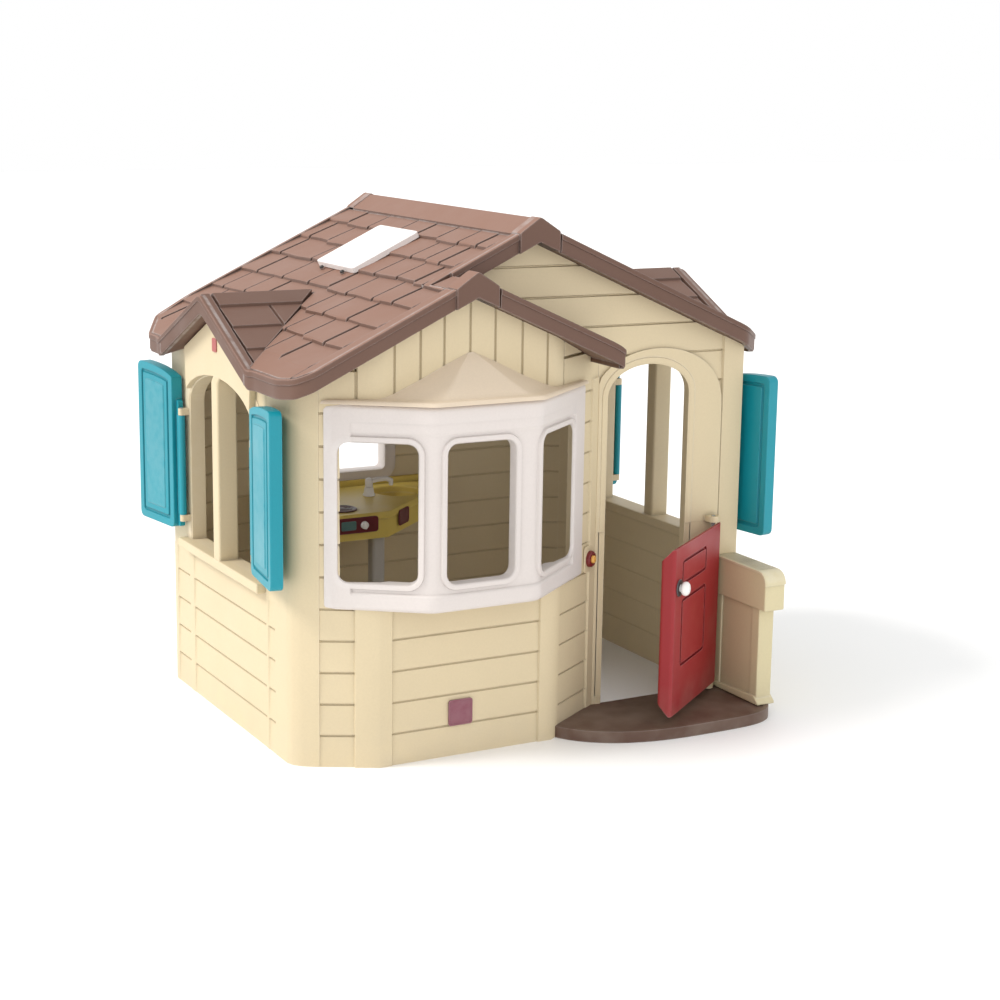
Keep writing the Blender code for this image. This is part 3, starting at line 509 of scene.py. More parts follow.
# The roof has painted sunlight, painted paler on faces turned towards the key light.
BROWN = moulded("brown roof plastic", (0.135, 0.070, 0.048), 0.52, grain=0.8, edge_sheen_and_wear=0.45, painted_groove_shade=0.6,
                dust=0.0, painted_sunlight=0.9)
BAY_WHITE = moulded("off-white bay plastic", (0.68, 0.622, 0.59), 0.42, edge_sheen_and_wear=0.2, painted_groove_shade=0.25, patch=0.02)
BAY_BEIGE = moulded("beige bay roof plastic", (0.70, 0.58, 0.44), 0.46, edge_sheen_and_wear=0.25, patch=0.03)
TEAL = moulded("teal shutter plastic", (0.005, 0.27, 0.34), 0.42, edge_sheen_and_wear=0.15, painted_groove_shade=0.5)
RED = moulded("red door plastic", (0.30, 0.013, 0.017), 0.44, edge_sheen_and_wear=0.2, painted_groove_shade=0.6)
WHITE = moulded("smooth white plastic", (0.88, 0.86, 0.83), 0.30, grain=0.25, edge_sheen_and_wear=0.1, painted_groove_shade=0.2,
                patch=0.015)
GREY = moulded("grey pin plastic", (0.30, 0.30, 0.30), 0.45, grain=0.3, edge_sheen_and_wear=0.2)
PORCH = moulded("dark brown step plastic", (0.12, 0.066, 0.046), 0.52, grain=0.8, edge_sheen_and_wear=0.25, dust=0.2)
RAIL = moulded("pale yellow rail plastic", (0.66, 0.58, 0.36), 0.48, patch=0.03)
COUNTER = moulded("yellow counter plastic", (0.72, 0.55, 0.13), 0.42, edge_sheen_and_wear=0.2, dust=0.0)
BURNER = moulded("burner brown plastic", (0.095, 0.030, 0.018), 0.38, edge_sheen_and_wear=0.2, dust=0.0)
PANEL_RED = moulded("panel red plastic", (0.13, 0.012, 0.018), 0.36, edge_sheen_and_wear=0.15, dust=0.0)
BELL_RED = moulded("bell red plastic", (0.17, 0.014, 0.014), 0.32, edge_sheen_and_wear=0.2, dust=0.0)
BELL_YELLOW = moulded("bell yellow plastic", (0.80, 0.42, 0.10), 0.32, edge_sheen_and_wear=0.1, dust=0.0)
LEG = moulded("leg grey plastic", (0.48, 0.46, 0.43), 0.45, edge_sheen_and_wear=0.15)
PLATE = moulded("plain plate plastic", (0.22, 0.055, 0.085), 0.40, edge_sheen_and_wear=0.35, dust=0.1)
STUD = moulded("dark stud plastic", (0.03, 0.025, 0.022), 0.40, dust=0.0)
# Painted shadow: near-black colour for the flat disc round the door knob.
KNOB_SHADOW = moulded("painted knob shadow plastic", (0.020, 0.016, 0.020), 0.36, dust=0.0)
PLATE_RED = moulded("small red plate plastic", (0.42, 0.10, 0.09), 0.40, edge_sheen_and_wear=0.2, dust=0.0)
SKYLIGHT = moulded("skylight plastic", (0.86, 0.82, 0.80), 0.34, grain=0.3, edge_sheen_and_wear=0.1, painted_groove_shade=0.3, dust=0.0)
SCREEN = moulded("panel teal plastic", (0.10, 0.20, 0.19), 0.34, edge_sheen_and_wear=0.15, dust=0.0)


# ---- walls -------------------------------------------------------------------------------------
BOARD = 0.0912                       # height of one clapboard
LAP = ((-0.0045, -0.0030), (-0.0018, -0.0068), (0.0008, -0.0068), (0.0032, -0.0012), (0.0080, 0.0))
SEAM = ((-0.0045, 0.0), (-0.0016, -0.0055), (0.0016, -0.0055), (0.0045, 0.0))
TRIM = 0.0045                        # how far trim boards stand proud


def between(value, places, heights):
    """Read a profile at a value, straight between its points."""
    return float(np.interp(value, places, heights))


def board_profile(low, high):
    """Heights and depths of lapped clapboards between low and high."""
    heights, depths = [low], [0.0]
    for k in range(1, int(high / BOARD) + 1):
        for z, d in LAP:
            if low < k * BOARD + z < high:
                heights.append(k * BOARD + z)
                depths.append(d)
    return heights + [high], depths + [0.0]


def seam_profile(places, low, high):
    """Depths of narrow grooves at the given places."""
    points = [(low, 0.0)]
    for place in sorted(places):
        points += [(place + x, d) for x, d in SEAM]
    points.append((high, 0.0))
    return [x for x, d in points], [d for x, d in points]


def trim_profile(bands, low, high, ramp_width=0.004):
    """Share of trim along a wall: 1 inside each band."""
    points = [(low, 1.0 if any(start < low for start, end in bands) else 0.0)]
    for start, end in bands:
        if start > low:
            points += [(start, 0.0), (start + ramp_width, 1.0)]
        if end < high:
            points += [(end - ramp_width, 1.0), (end, 0.0)]
    points.append((high, 1.0 if any(end > high for start, end in bands) else 0.0))
    return [x for x, w in points], [w for x, w in points]


def along(line):
    """Distances along a line, and a function that gives the point and outward direction there. The
    wall's outside is to the right of the line."""
    points = [Vector(point) for point in line]
    lengths = [0.0]
    for a, b in zip(points, points[1:]):
        lengths.append(lengths[-1] + (b - a).length)
    mitres = []
    for k in range(len(points)):
        outs = []
        for a, b in ((k - 1, k), (k, k + 1)):
            if a >= 0 and b < len(points):
                run = (points[b] - points[a]).normalized()
                outs.append(Vector((run.y, -run.x)))
        mean = sum(outs, Vector((0, 0))).normalized()
        mitres.append(mean / mean.dot(outs[0]))

    def place(u, v, d):
        k = max(0, min(len(points) - 2, int(np.searchsorted(lengths, u, side="right")) - 1))
        share = (u - lengths[k]) / (lengths[k + 1] - lengths[k])
        point = points[k].lerp(points[k + 1], share)
        if share < 1e-6:
            out = mitres[k]
        elif share > 1 - 1e-6:
            out = mitres[k + 1]
        else:
            run = (points[k + 1] - points[k]).normalized()
            out = Vector((run.y, -run.x))
        return (point.x + out.x * d, point.y + out.y * d, v)

    return lengths, place


def steps_of(*lists):
    """One sorted list of distinct values."""
    values = sorted(x for each in lists for x in each)
    kept = [values[0]]
    for value in values[1:]:
        if value - kept[-1] > 2e-4:
            kept.append(value)
    return kept


def fall(distance):
    """How far a roof plane has dropped at a distance from its ridge, negative to the left."""
    return SLOPE * -distance if distance < 0 else SLOPE_RIGHT * distance


def main_height(x):
    return SHINGLE_TOP - fall(x - RIDGE_X)


def mirror_height(x):
    """Height of the right main slope, drawn as if it were the left one."""
    return main_height(HOUSE_W - x)


def low_height(x):
    return SHINGLE_TOP - SLOPE * (RIDGE_X - LOW_RIDGE_X) - fall(x - LOW_RIDGE_X)


def above_eaves(dormer_y, wall_x, dormer_top):
    """Everything above a side wall's top edge, which rises under the dormer."""
    top = main_height(wall_x) - ROOF_T - 0.001
    peak = dormer_top - ROOF_T - 0.003
    reach = (peak - top) / SLOPE
    return [(-1.0, top), (dormer_y - reach, top), (dormer_y, peak), (dormer_y + reach, top),
            (3.0, top), (3.0, 3.0), (-1.0, 3.0)]


def under_roof(height, peak_x):
    """Everything above a gable wall's top edge."""
    line = [(x, height(x) - ROOF_T - 0.001) for x in (peak_x - 2.0, peak_x, peak_x + 2.0)]
    return line + [(peak_x + 2.0, 3.0), (peak_x - 2.0, 3.0)]


PILASTERS = ((-0.337, -0.316), (0.264, 0.308))      # trim posts beside a side window, from its middle
POST_PROUD = 0.75                    # their relief, as a share of TRIM
GABLE_HALF = WINDOW_HALF - 0.012
HINGE_OUT = 0.024
HINGE_BESIDE = 0.012
LUG_HEIGHTS = ((0.545, 0.565), (0.875, 0.895))
LUG_HALF = 0.010
PIN_R = 0.005


def side_wall(name, line, dormer_y, right):
    """A side wall, drawn as the left one: clapboards under an arched window between trim posts."""
    lengths, place = along(line)
    straight = next(k for k, point in enumerate(line) if abs(point[0]) < 1e-6)
    start = lengths[straight]

    def at(y):
        """Distance along the wall at depth y."""
        return start + (line[straight][1] - y)

    posts = [(at(dormer_y + b), at(dormer_y + a)) for a, b in reversed(PILASTERS)]
    end = lengths[-1]
    corner_front = at(SIDE_START + 0.085)
    corner_back = at(SIDE_END - 0.025)
    bands = [(-1.0, corner_back)] + posts + [(corner_front, end + 1.0)]
    shares_u, shares = trim_profile([(a, b) for a, b in bands if b > 0 and a < end], 0.0, end)
    heights, depths = board_profile(0.0, SIDE_TOP)
    zone_z, zone = [0.0, SILL_Z - 0.046, SILL_Z - 0.040, SIDE_TOP], [0.0, 0.0, 1.0, 1.0]

    def top(u, v):
        share = between(u, shares_u, shares)
        upper = between(v, zone_z, zone)
        lap = between(v, heights, depths) * (1 - share)
        near = 1.0 if any(a - 1e-6 <= u <= b + 1e-6 for a, b in posts) else 0.0
        return lap * (1 - upper) + TRIM * share * (POST_PROUD * near * upper + (1 - upper) * 0.25)

    def under(u, v):
        lap = between(v, heights, depths)
        return -WALL_T - 0.4 * lap * (1 - between(v, zone_z, zone))

    us = steps_of(lengths, shares_u)
    vs = steps_of(heights, zone_z)
    wall = slab(us, vs, place, top, under)
    window = arched(dormer_y - WINDOW_HALF, dormer_y + WINDOW_HALF, SILL_Z, WINDOW_SPRING, WINDOW_TOP)
    eaves = above_eaves(dormer_y, *((HOUSE_W, RIGHT_DORMER_TOP) if right else (0.0, DORMER_TOP)))
    wall = carve(wall, prism(eaves, -0.5, 0.5, side_view()),
                 prism(window, -0.5, 0.5, side_view()))

    lip = [(0.030, -0.044), (-0.003, -0.044), (-0.003, 0.000), (0.001, 0.0035), (0.034, 0.0035),
           (0.037, 0.002), (0.038, -0.001)]
    band_path = [(0.0, y, z) for y, z in arched(dormer_y - WINDOW_HALF, dormer_y + WINDOW_HALF, SILL_Z,
                                                WINDOW_SPRING, WINDOW_TOP, 32)]
    band_path = band_path[1:] + band_path[:1]
    moulding = sweep(band_path, (-1, 0, 0), [(-a, d) for a, d in lip])
    sill = box((-0.031, dormer_y - WINDOW_HALF - 0.045, SILL_Z - 0.026),
               (WALL_T + 0.008, dormer_y + WINDOW_HALF + 0.045, SILL_Z + 0.003))
    soften(sill, 0.005, segments=3)
    half = MULLION_W / 2
    foot, head = SILL_Z - 0.01, WINDOW_TOP + 0.006
    bow = [(-MULLION_OUT, foot), (-MULLION_OUT, WINDOW_TOP - 0.014), (0.002 - GABLE_OUT, head),
           (WALL_T - 0.006, head), (WALL_T - 0.006, foot)]
    bar = prism(bow, -dormer_y - half, -dormer_y + half, front_view())
    soften(bar, 0.007, segments=3)
    lugs = []
    for side in (-1, 1):
        hinge_y = dormer_y + side * (WINDOW_HALF + HINGE_BESIDE)
        for low, high in LUG_HEIGHTS:
            plan = [(0.004, hinge_y - LUG_HALF), (0.004, hinge_y + LUG_HALF)]
            plan += arc((-HINGE_OUT, hinge_y), LUG_HALF, 90, 270, 10)
            lug = prism(plan, low, high)
            bore = prism(arc((-HINGE_OUT, hinge_y), PIN_R + PLAY, 0, 337.5, 15), low - 0.01, high + 0.01)
            lugs.append(carve(lug, bore))
    peak = eaves[2][1] - 0.002
    gable = sorted((y, z) for _, y, z in band_path
                   if z > WINDOW_SPRING + 0.012 and abs(y - dormer_y) < GABLE_HALF)
    side_z = peak - SLOPE * GABLE_HALF
    gable += [(dormer_y + GABLE_HALF, side_z), (dormer_y, peak), (dormer_y - GABLE_HALF, side_z)]
    field = soften(prism(gable, -GABLE_OUT, 0.004, side_view()), 0.004)
    shape = merge(wall, moulding, field, sill, bar, *lugs)
    if right:
        mirror_x(shape)
    cover(name, shape, CREAM)


def build_side_walls():
    rear = [(SEAM_IN, SEAM_BACK), (0.028, 1.096), (0.008, 1.075), (0.0, SIDE_END)]
    front = [(0.0, SIDE_START), (0.008, 0.125), (0.028, 0.104), (SEAM_IN, SEAM_FRONT)]
    side_wall("left_wall", rear + front, LEFT_DORMER_Y, False)
    side_wall("right_wall", rear + [(0.0, DOOR_WALL_Y + WALL_T + GAP)], RIGHT_DORMER_Y, True)


BAY_HOLE_X = (0.118, 0.875)
PLANKS_Z = 1.036                     # where the boards end and the gable's upright planks begin
LEDGE_Z = 1.120
BATTENS = (0.157, 0.257, 0.335, 0.407, 0.487, 0.565, 0.651, 0.732, 0.800)


def bay_line():
    """Plan of the bay wall's outer face, from the left."""
    return [(SEAM_IN + GAP, SEAM_FRONT), (BAY_LEFT, 0.0), (BAY_RIGHT, 0.0), (FACET_END, DOOR_WALL_Y)]


def build_bay_wall():
    """The three-facet front wall: clapboards and corner boards below, vertical planks in the gable."""
    line = bay_line()
    lengths, place = along(line)

    def at(x):
        """Distance along the wall at a given x."""
        xs = [point[0] for point in line]
        return between(x, xs, lengths)

    bands = [(at(0.152), at(0.255)), (at(0.720), at(0.800)), (at(0.956), lengths[-1] + 1.0)]
    shares_u, shares = trim_profile(bands, 0.0, lengths[-1])
    heights, depths = board_profile(0.0, BAY_TOP)
    planks_u, planks = seam_profile([at(x) for x in BATTENS], 0.0, lengths[-1])
    zone_z, zone = [0.0, PLANKS_Z, PLANKS_Z + 0.003, BAY_TOP], [0.0, 0.0, 1.0, 1.0]
    ledge_z, ledge = seam_profile([PLANKS_Z - 0.004, LEDGE_Z], 0.0, BAY_TOP)
    ends = (at(BATTENS[0]), at(BATTENS[-1]))

    def top(u, v):
        share = between(u, shares_u, shares)
        upper = between(v, zone_z, zone)
        lower = between(v, heights, depths) * (1 - share) + TRIM * share
        outer = 1.0 if u < ends[0] or u > ends[1] else 0.0
        plank = between(u, planks_u, planks) + 2.0 * outer * between(v, ledge_z, ledge)
        return lower * (1 - upper) + plank * upper

    us = steps_of(lengths, shares_u, planks_u)
    vs = steps_of(heights, zone_z, ledge_z)
    wall = slab(us, vs, place, top, lambda u, v: -WALL_T - 0.4 * between(v, heights, depths))
    wall = carve(wall, prism(under_roof(low_height, LOW_RIDGE_X), -0.5, 0.5, front_view()),
                 box((BAY_HOLE_X[0], -0.3, 0.500), (BAY_HOLE_X[1], 0.4, 0.985)))
    cover("bay_wall", wall, CREAM)


DOORWAY = (1.005, 1.328)
DOORWAY_SPRING = 0.975
DOORWAY_TOP = 1.085
ARCH_MIDDLE = 1.1965
ARCH_HALF = 0.2335
ARCH_SPRING = 0.925
ARCH_TOP = 1.112
DOOR_AXIS = (1.400, 0.120)
DOOR_LUGS = ((0.0385, 0.0565), (0.5685, 0.5865))
DOOR_WALL_STEP = 1.114               # the door wall runs on behind the low roof above this height


def door_rebate():
    """The room that the shut door needs in front of the wall."""
    return box((DOOR_AXIS[0] - DOOR_LEN - 0.004, DOOR_WALL_Y - 0.030, DOOR_Z[0] - 0.004),
               (DOOR_AXIS[0] + 0.026, DOOR_WALL_Y - 0.0048, DOOR_Z[1] + 0.004))


def build_door_wall():
    """The wall with the arched doorway, its flat band and its raised rim, and the door's two lugs."""
    start = FACET_END + 0.002
    heights, depths = board_profile(0.0, TALL_TOP)
    column = ARCH_MIDDLE + ARCH_HALF
    shares_u, shares = trim_profile([(column, HOUSE_W + 1.0)], LOW_RIDGE_X - 0.02, HOUSE_W)
    zone_z, zone = [0.0, 0.90, 0.91, TALL_TOP], [0.0, 0.0, 1.0, 1.0]

    def top(u, v):
        share = between(u, shares_u, shares)
        lap = between(v, heights, depths) * between(v, zone_z, zone)
        return lap * (1 - share) + TRIM * 1.4 * share

    def place(u, v, d):
        return (u, DOOR_WALL_Y - d, v)

    wall = slab(steps_of(shares_u, [start]), steps_of(heights, zone_z), place, top, lambda u, v: -WALL_T)
    doorway = arched(*DOORWAY, -0.1, DOORWAY_SPRING, DOORWAY_TOP)
    corner = box((0.0, -1.0, -1.0), (start, 1.0, DOOR_WALL_STEP))
    wall = carve(wall, prism(under_roof(main_height, RIDGE_X), -0.5, 0.5, front_view()), corner,
                 prism(doorway, -0.5, 0.5, front_view()), door_rebate())

    outline = [(start, 0.0), (column, 0.0), (column, ARCH_SPRING)]
    for step in range(1, 28):
        angle = math.pi * step / 28
        x = ARCH_MIDDLE + ARCH_HALF * math.cos(angle)
        if x > start:
            outline.append((x, ARCH_SPRING + (ARCH_TOP - ARCH_SPRING) * math.sin(angle) ** 0.85))
    outline.append((start, outline[-1][1] - 0.02))
    band = prism(outline, -DOOR_WALL_Y - 0.004, -DOOR_WALL_Y + 0.006, front_view())
    band = carve(band, prism(doorway, -0.5, 0.5, front_view()), door_rebate())
    soften(band, 0.003, angle=30.0)

    lip = [(0.004, -0.043), (-0.004, -0.043), (-0.004, 0.004), (0.0, 0.0085), (0.014, 0.0085),
           (0.019, 0.005)]
    edge = [(x, DOOR_WALL_Y, max(z, 0.0))
            for x, z in arched(*DOORWAY, -0.1, DOORWAY_SPRING, DOORWAY_TOP, 32)]
    edge = edge[1:] + edge[:1]
    rim = carve(sweep(edge, (0, -1, 0), [(-a, d) for a, d in lip]), door_rebate())

    lugs = []
    for low, high in DOOR_LUGS:
        plan = [(DOOR_AXIS[0] + side * 0.018, DOOR_WALL_Y + 0.004) for side in (1, -1)]
        plan += arc(DOOR_AXIS, 0.018, 180, 360, 12)
        bore = prism(arc(DOOR_AXIS, DOOR_PIN_R + PLAY, 0, 342, 19), low - 0.01, high + 0.01)
        lugs.append(carve(prism(plan, low, high), bore))
    cover("door_wall", merge(wall, band, rim, *lugs), CREAM)


BACK_WINDOW_X = (0.400, 0.800)
BACK_WINDOW_Z = (0.575, 0.945)


def build_back_wall():
    """The clapboard back wall and the white ring of its window."""
    line = [(HOUSE_W - SEAM_IN - GAP, SEAM_BACK), (HOUSE_W - 0.20, BACK_Y), (0.20, BACK_Y),
            (SEAM_IN + GAP, SEAM_BACK)]
    lengths, place = along(line)
    bands = [(lengths[1] - 0.06, lengths[1] + 0.04), (lengths[2] - 0.04, lengths[2] + 0.06)]
    shares_u, shares = trim_profile(bands, 0.0, lengths[-1])
    heights, depths = board_profile(0.0, TALL_TOP)

    def top(u, v):
        share = between(u, shares_u, shares)
        return between(v, heights, depths) * (1 - share) + TRIM * share

    def under(u, v):
        return -WALL_T - 0.7 * between(v, heights, depths)

    wall = slab(steps_of(lengths, shares_u), steps_of(heights), place, top, under)
    hole = rounded((BACK_WINDOW_X[0], BACK_WINDOW_Z[0]), (BACK_WINDOW_X[1], BACK_WINDOW_Z[1]), 0.04)
    wall = carve(wall, prism(under_roof(main_height, RIDGE_X), -2.0, 0.0, front_view()),
                 prism(hole, -1.4, -1.0, front_view()))
    cover("back_wall", wall, CREAM)

    rim = [(0.0, -0.047), (0.022, -0.047), (0.026, -0.041), (0.026, 0.001), (0.021, 0.0055),
           (0.003, 0.0055), (-0.012, 0.0055), (-0.017, 0.003), (-0.018, 0.0), (-0.001, 0.0),
           (-0.001, -0.040), (-0.018, -0.040), (-0.017, -0.044), (-0.012, -0.047)]
    ring = [(x, BACK_Y, z) for x, z in hole]
    frame_ring = sweep(ring, (0, 1, 0), rim, closed=True)
    piece("back_window_ring", frame_ring, BAY_WHITE, "house", ["back_window_frame"])


# ---- roof --------------------------------------------------------------------------------------
COURSE_START = 0.0117                # first row of shingle butts, and the rows' spacing
COURSE = 0.1002
BUTT = 0.0065                        # a shingle's lower edge above the roof plane
THIN = -0.003                        # and its upper edge
JOINT_DEEP = 0.009
BORDER = 0.0065                      # flat border along the eaves and rakes
LEFT_JOINTS = ((0.21, 0.34, 1.04, 1.16), (0.13, 0.28, 0.42, 0.97, 1.10),
               (0.21, 0.37, 0.49, 0.84, 0.98, 1.15), (0.14, 0.26, 0.43, 0.57, 0.72, 0.91, 1.11),
               (0.20, 0.32, 0.46, 0.62, 0.78, 0.93, 1.17), (0.24, 0.33, 0.43, 0.60, 0.85, 1.02, 1.17),
               (0.21, 0.32, 0.46, 0.60, 0.73, 0.93, 1.09))
RIGHT_JOINTS = tuple(tuple(round(1.36 - y, 3) for y in reversed(row) if y > 0.15) for row in LEFT_JOINTS)
SHORT_JOINTS = ((0.05,), (0.09,), (0.04,), (0.08,))
FASCIA = ((0.019, 0.0075), (0.0045, 0.0075), (0.0015, 0.006), (0.0, 0.003), (0.0, -0.0085),
          (0.0028, -0.0105), (0.0028, -0.0405), (0.006, -0.0475), (0.019, -0.0475))
SLAB_IN = 0.012


def shingled(joints, border, height, span_x, span_y, turn=lambda x: x):
    """A slab of wedge-shaped shingles on a slope that rises with x. joints lists the gaps in each
    course, and border(x) is where the flat border along the rake ends."""
    butts = [COURSE_START + COURSE * k for k in range(len(joints))]

    def course(x):
        return max(0, min(len(joints) - 1, int((x - COURSE_START + 0.0003) // COURSE)))

    def jog(y, x):
        near = round((x - COURSE_START) / COURSE)
        if not 0 <= near < len(joints) or abs(x - COURSE_START - near * COURSE) > 0.006 or y < border(x):
            return 0.0
        cell = sum(1 for joint in joints[near] if joint < y)
        return ((cell * 7 + near * 5) % 4 - 1.5) * 0.0028 + 0.0015 * math.sin(31.0 * y + near)

    def place(y, x, d):
        x = x + jog(y, x)
        return (turn(x), y, height(turn(x)) + d)

    def top(y, x):
        edge = border(x)
        if y < edge - 0.0055:
            return BORDER
        k = course(x)
        share = (x - butts[k]) / COURSE
        if x < COURSE_START - 0.0008:
            relief = 0.0035
        elif share < 0.002:
            relief = BUTT - 0.0025
        else:
            relief = BUTT + (THIN - BUTT) * min(1.0, share)
            relief += ((sum(1 for joint in joints[k] if joint < y) * 5 + k * 3) % 3 - 1) * 0.0009
        if x > COURSE_START - 0.0008:
            gap = min(abs(y - joint) for joint in joints[k])
            relief -= JOINT_DEEP * max(0.0, min(1.0, (0.0056 - gap) / 0.0020))
        trench = max(0.0, min(1.0, (0.0056 - abs(y - edge)) / 0.0020))
        return relief * (1 - trench) - 0.004 * trench

    xs = [span_x[0], span_x[1]]
    for butt in butts:
        xs += [butt - 0.0012, butt, butt + 0.0045]
    edges = {border(x) for x in np.linspace(span_x[0], span_x[1], 200)}
    if len(edges) > 1:
        xs += [LOW_RIDGE_X - CAP_W - 0.003, LOW_RIDGE_X - CAP_W - 0.0015]
    ys = [span_y[0], span_y[1]]
    for mark in list(edges) + [joint for row in joints for joint in row]:
        ys += [mark - 0.0056, mark - 0.0036, mark + 0.0036, mark + 0.0056]
    xs = [x for x in steps_of(xs) if span_x[0] <= x <= span_x[1]]
    ys = [y for y in steps_of(ys) if span_y[0] <= y <= span_y[1]]
    return slab(ys, xs, place, top, lambda y, x: -ROOF_T)


def dormer_size(height, dormer_top):
    """How deep a dormer's ridge runs into the slope, and how far it spreads to each side."""
    slope = (height(0.1) - height(0.0)) / 0.1
    return (dormer_top - height(0.0)) / slope, (dormer_top - height(-DORMER_OUT)) / SLOPE


def dormer_slab(middle, height, dormer_top):
    """A dormer's two short slopes: a ridge strip, three courses and a border along the rake."""
    depth, reach = dormer_size(height, dormer_top)
    lines = [0.058, 0.158, 0.262]
    border = -DORMER_OUT + 0.040
    joints = (0.20, 0.125, 0.150, 0.05)

    def top(x, y):
        away = abs(y - middle)
        if x < border - 0.004:
            return 0.0075
        if away < lines[0]:
            relief = 0.0085
        else:
            row = sum(1 for line in lines if away >= line - 1e-6)
            low = lines[row - 1]
            high = lines[row] if row < len(lines) else reach
            relief = 0.001 + 0.0065 * (away - low) / (high - low)
            relief -= 0.006 * max(0.0, min(1.0, (0.0050 - abs(x - joints[row])) / 0.0020))
        if x < border + 0.004:
            relief -= 0.009
        return relief

    xs = [-DORMER_OUT, border - 0.0045, border - 0.0035, border + 0.0035, border + 0.0045, depth + 0.01]
    for joint in joints:
        xs += [joint - 0.005, joint - 0.003, joint + 0.003, joint + 0.005]
    ys = [0.0, 0.004, reach + 0.02]
    for line in lines:
        ys += [line - 0.0012, line + 0.0002]
    ys = steps_of([middle - y for y in ys], [middle + y for y in ys])

    def place(x, y, d):
        return (x, y, dormer_top - SLOPE * abs(y - middle) + d)

    body = slab(steps_of(xs), ys, place, top, lambda x, y: -ROOF_T)
    edge = -DORMER_OUT + SLAB_IN
    inner = [(edge, middle - reach + 0.006), (edge, middle + reach - 0.006),
             (depth - 0.006, middle)]
    body = carve(body, prism(inner, 0.5, 2.0), operation="INTERSECT")
    start = 0.010 - DORMER_OUT
    foot, spread = height(start), (dormer_top - height(start)) / SLOPE
    valley = [(start, middle - spread, foot), (depth, middle, dormer_top), (start, middle + spread, foot)]
    gutter = sweep(valley, (0, 0, 1), [(-0.012, -0.040), (-0.012, -0.012), (0.012, -0.012), (0.012, -0.040)])
    return merge(body, gutter)


def roof_plan(middle, size, front, back):
    """Plan outline of a side slope with the notch that its dormer fills."""
    depth, reach = size
    near, far = middle - reach, middle + reach
    notch = [(-EAVE, near + 0.020), (depth - 0.015, middle), (-EAVE, far - 0.020)]
    return front + notch + [(-EAVE, SIDE_END + 0.03), (0.01, ROOF_BACK - 0.03), (0.12, ROOF_BACK)] + back


def eave_path(middle, height, dormer_top, front, end_x):
    """The line that the fascia follows: front rake, eave, dormer rake, eave and back rake."""
    reach = dormer_size(height, dormer_top)[1]
    foot, edge = height(-DORMER_OUT), height(-EAVE)
    path = [(x, y, height(x)) for x, y in front]
    path += [(-EAVE, middle - reach - 0.03, edge), (-DORMER_OUT, middle - reach, foot),
             (-DORMER_OUT, middle, dormer_top), (-DORMER_OUT, middle + reach, foot),
             (-EAVE, middle + reach + 0.03, edge)]
    rear = [(-EAVE, SIDE_END + 0.03), (0.01, ROOF_BACK - 0.03), (0.12, ROOF_BACK), (end_x, ROOF_BACK)]
    return fillet(path + [(x, y, height(x)) for x, y in rear], 0.022)


def ridge_bar(x, z, start, end, rise, half, under):
    """A ridge cap or hood: a chevron bar along y."""
    left, right = -SLOPE * half, -SLOPE_RIGHT * half
    top = rise - 0.0090
    profile = [(-half, under + left), (-half, top + left - 0.0035), (-half + 0.003, top + left),
               (-0.006, rise - 0.0022), (0.0, rise), (0.006, rise - 0.0022), (half - 0.003, top + right),
               (half, top + right - 0.0035), (half, under + right), (0.0, under)]
    return sweep([(x, start, z), (x, end, z)], (0, 0, 1), profile)


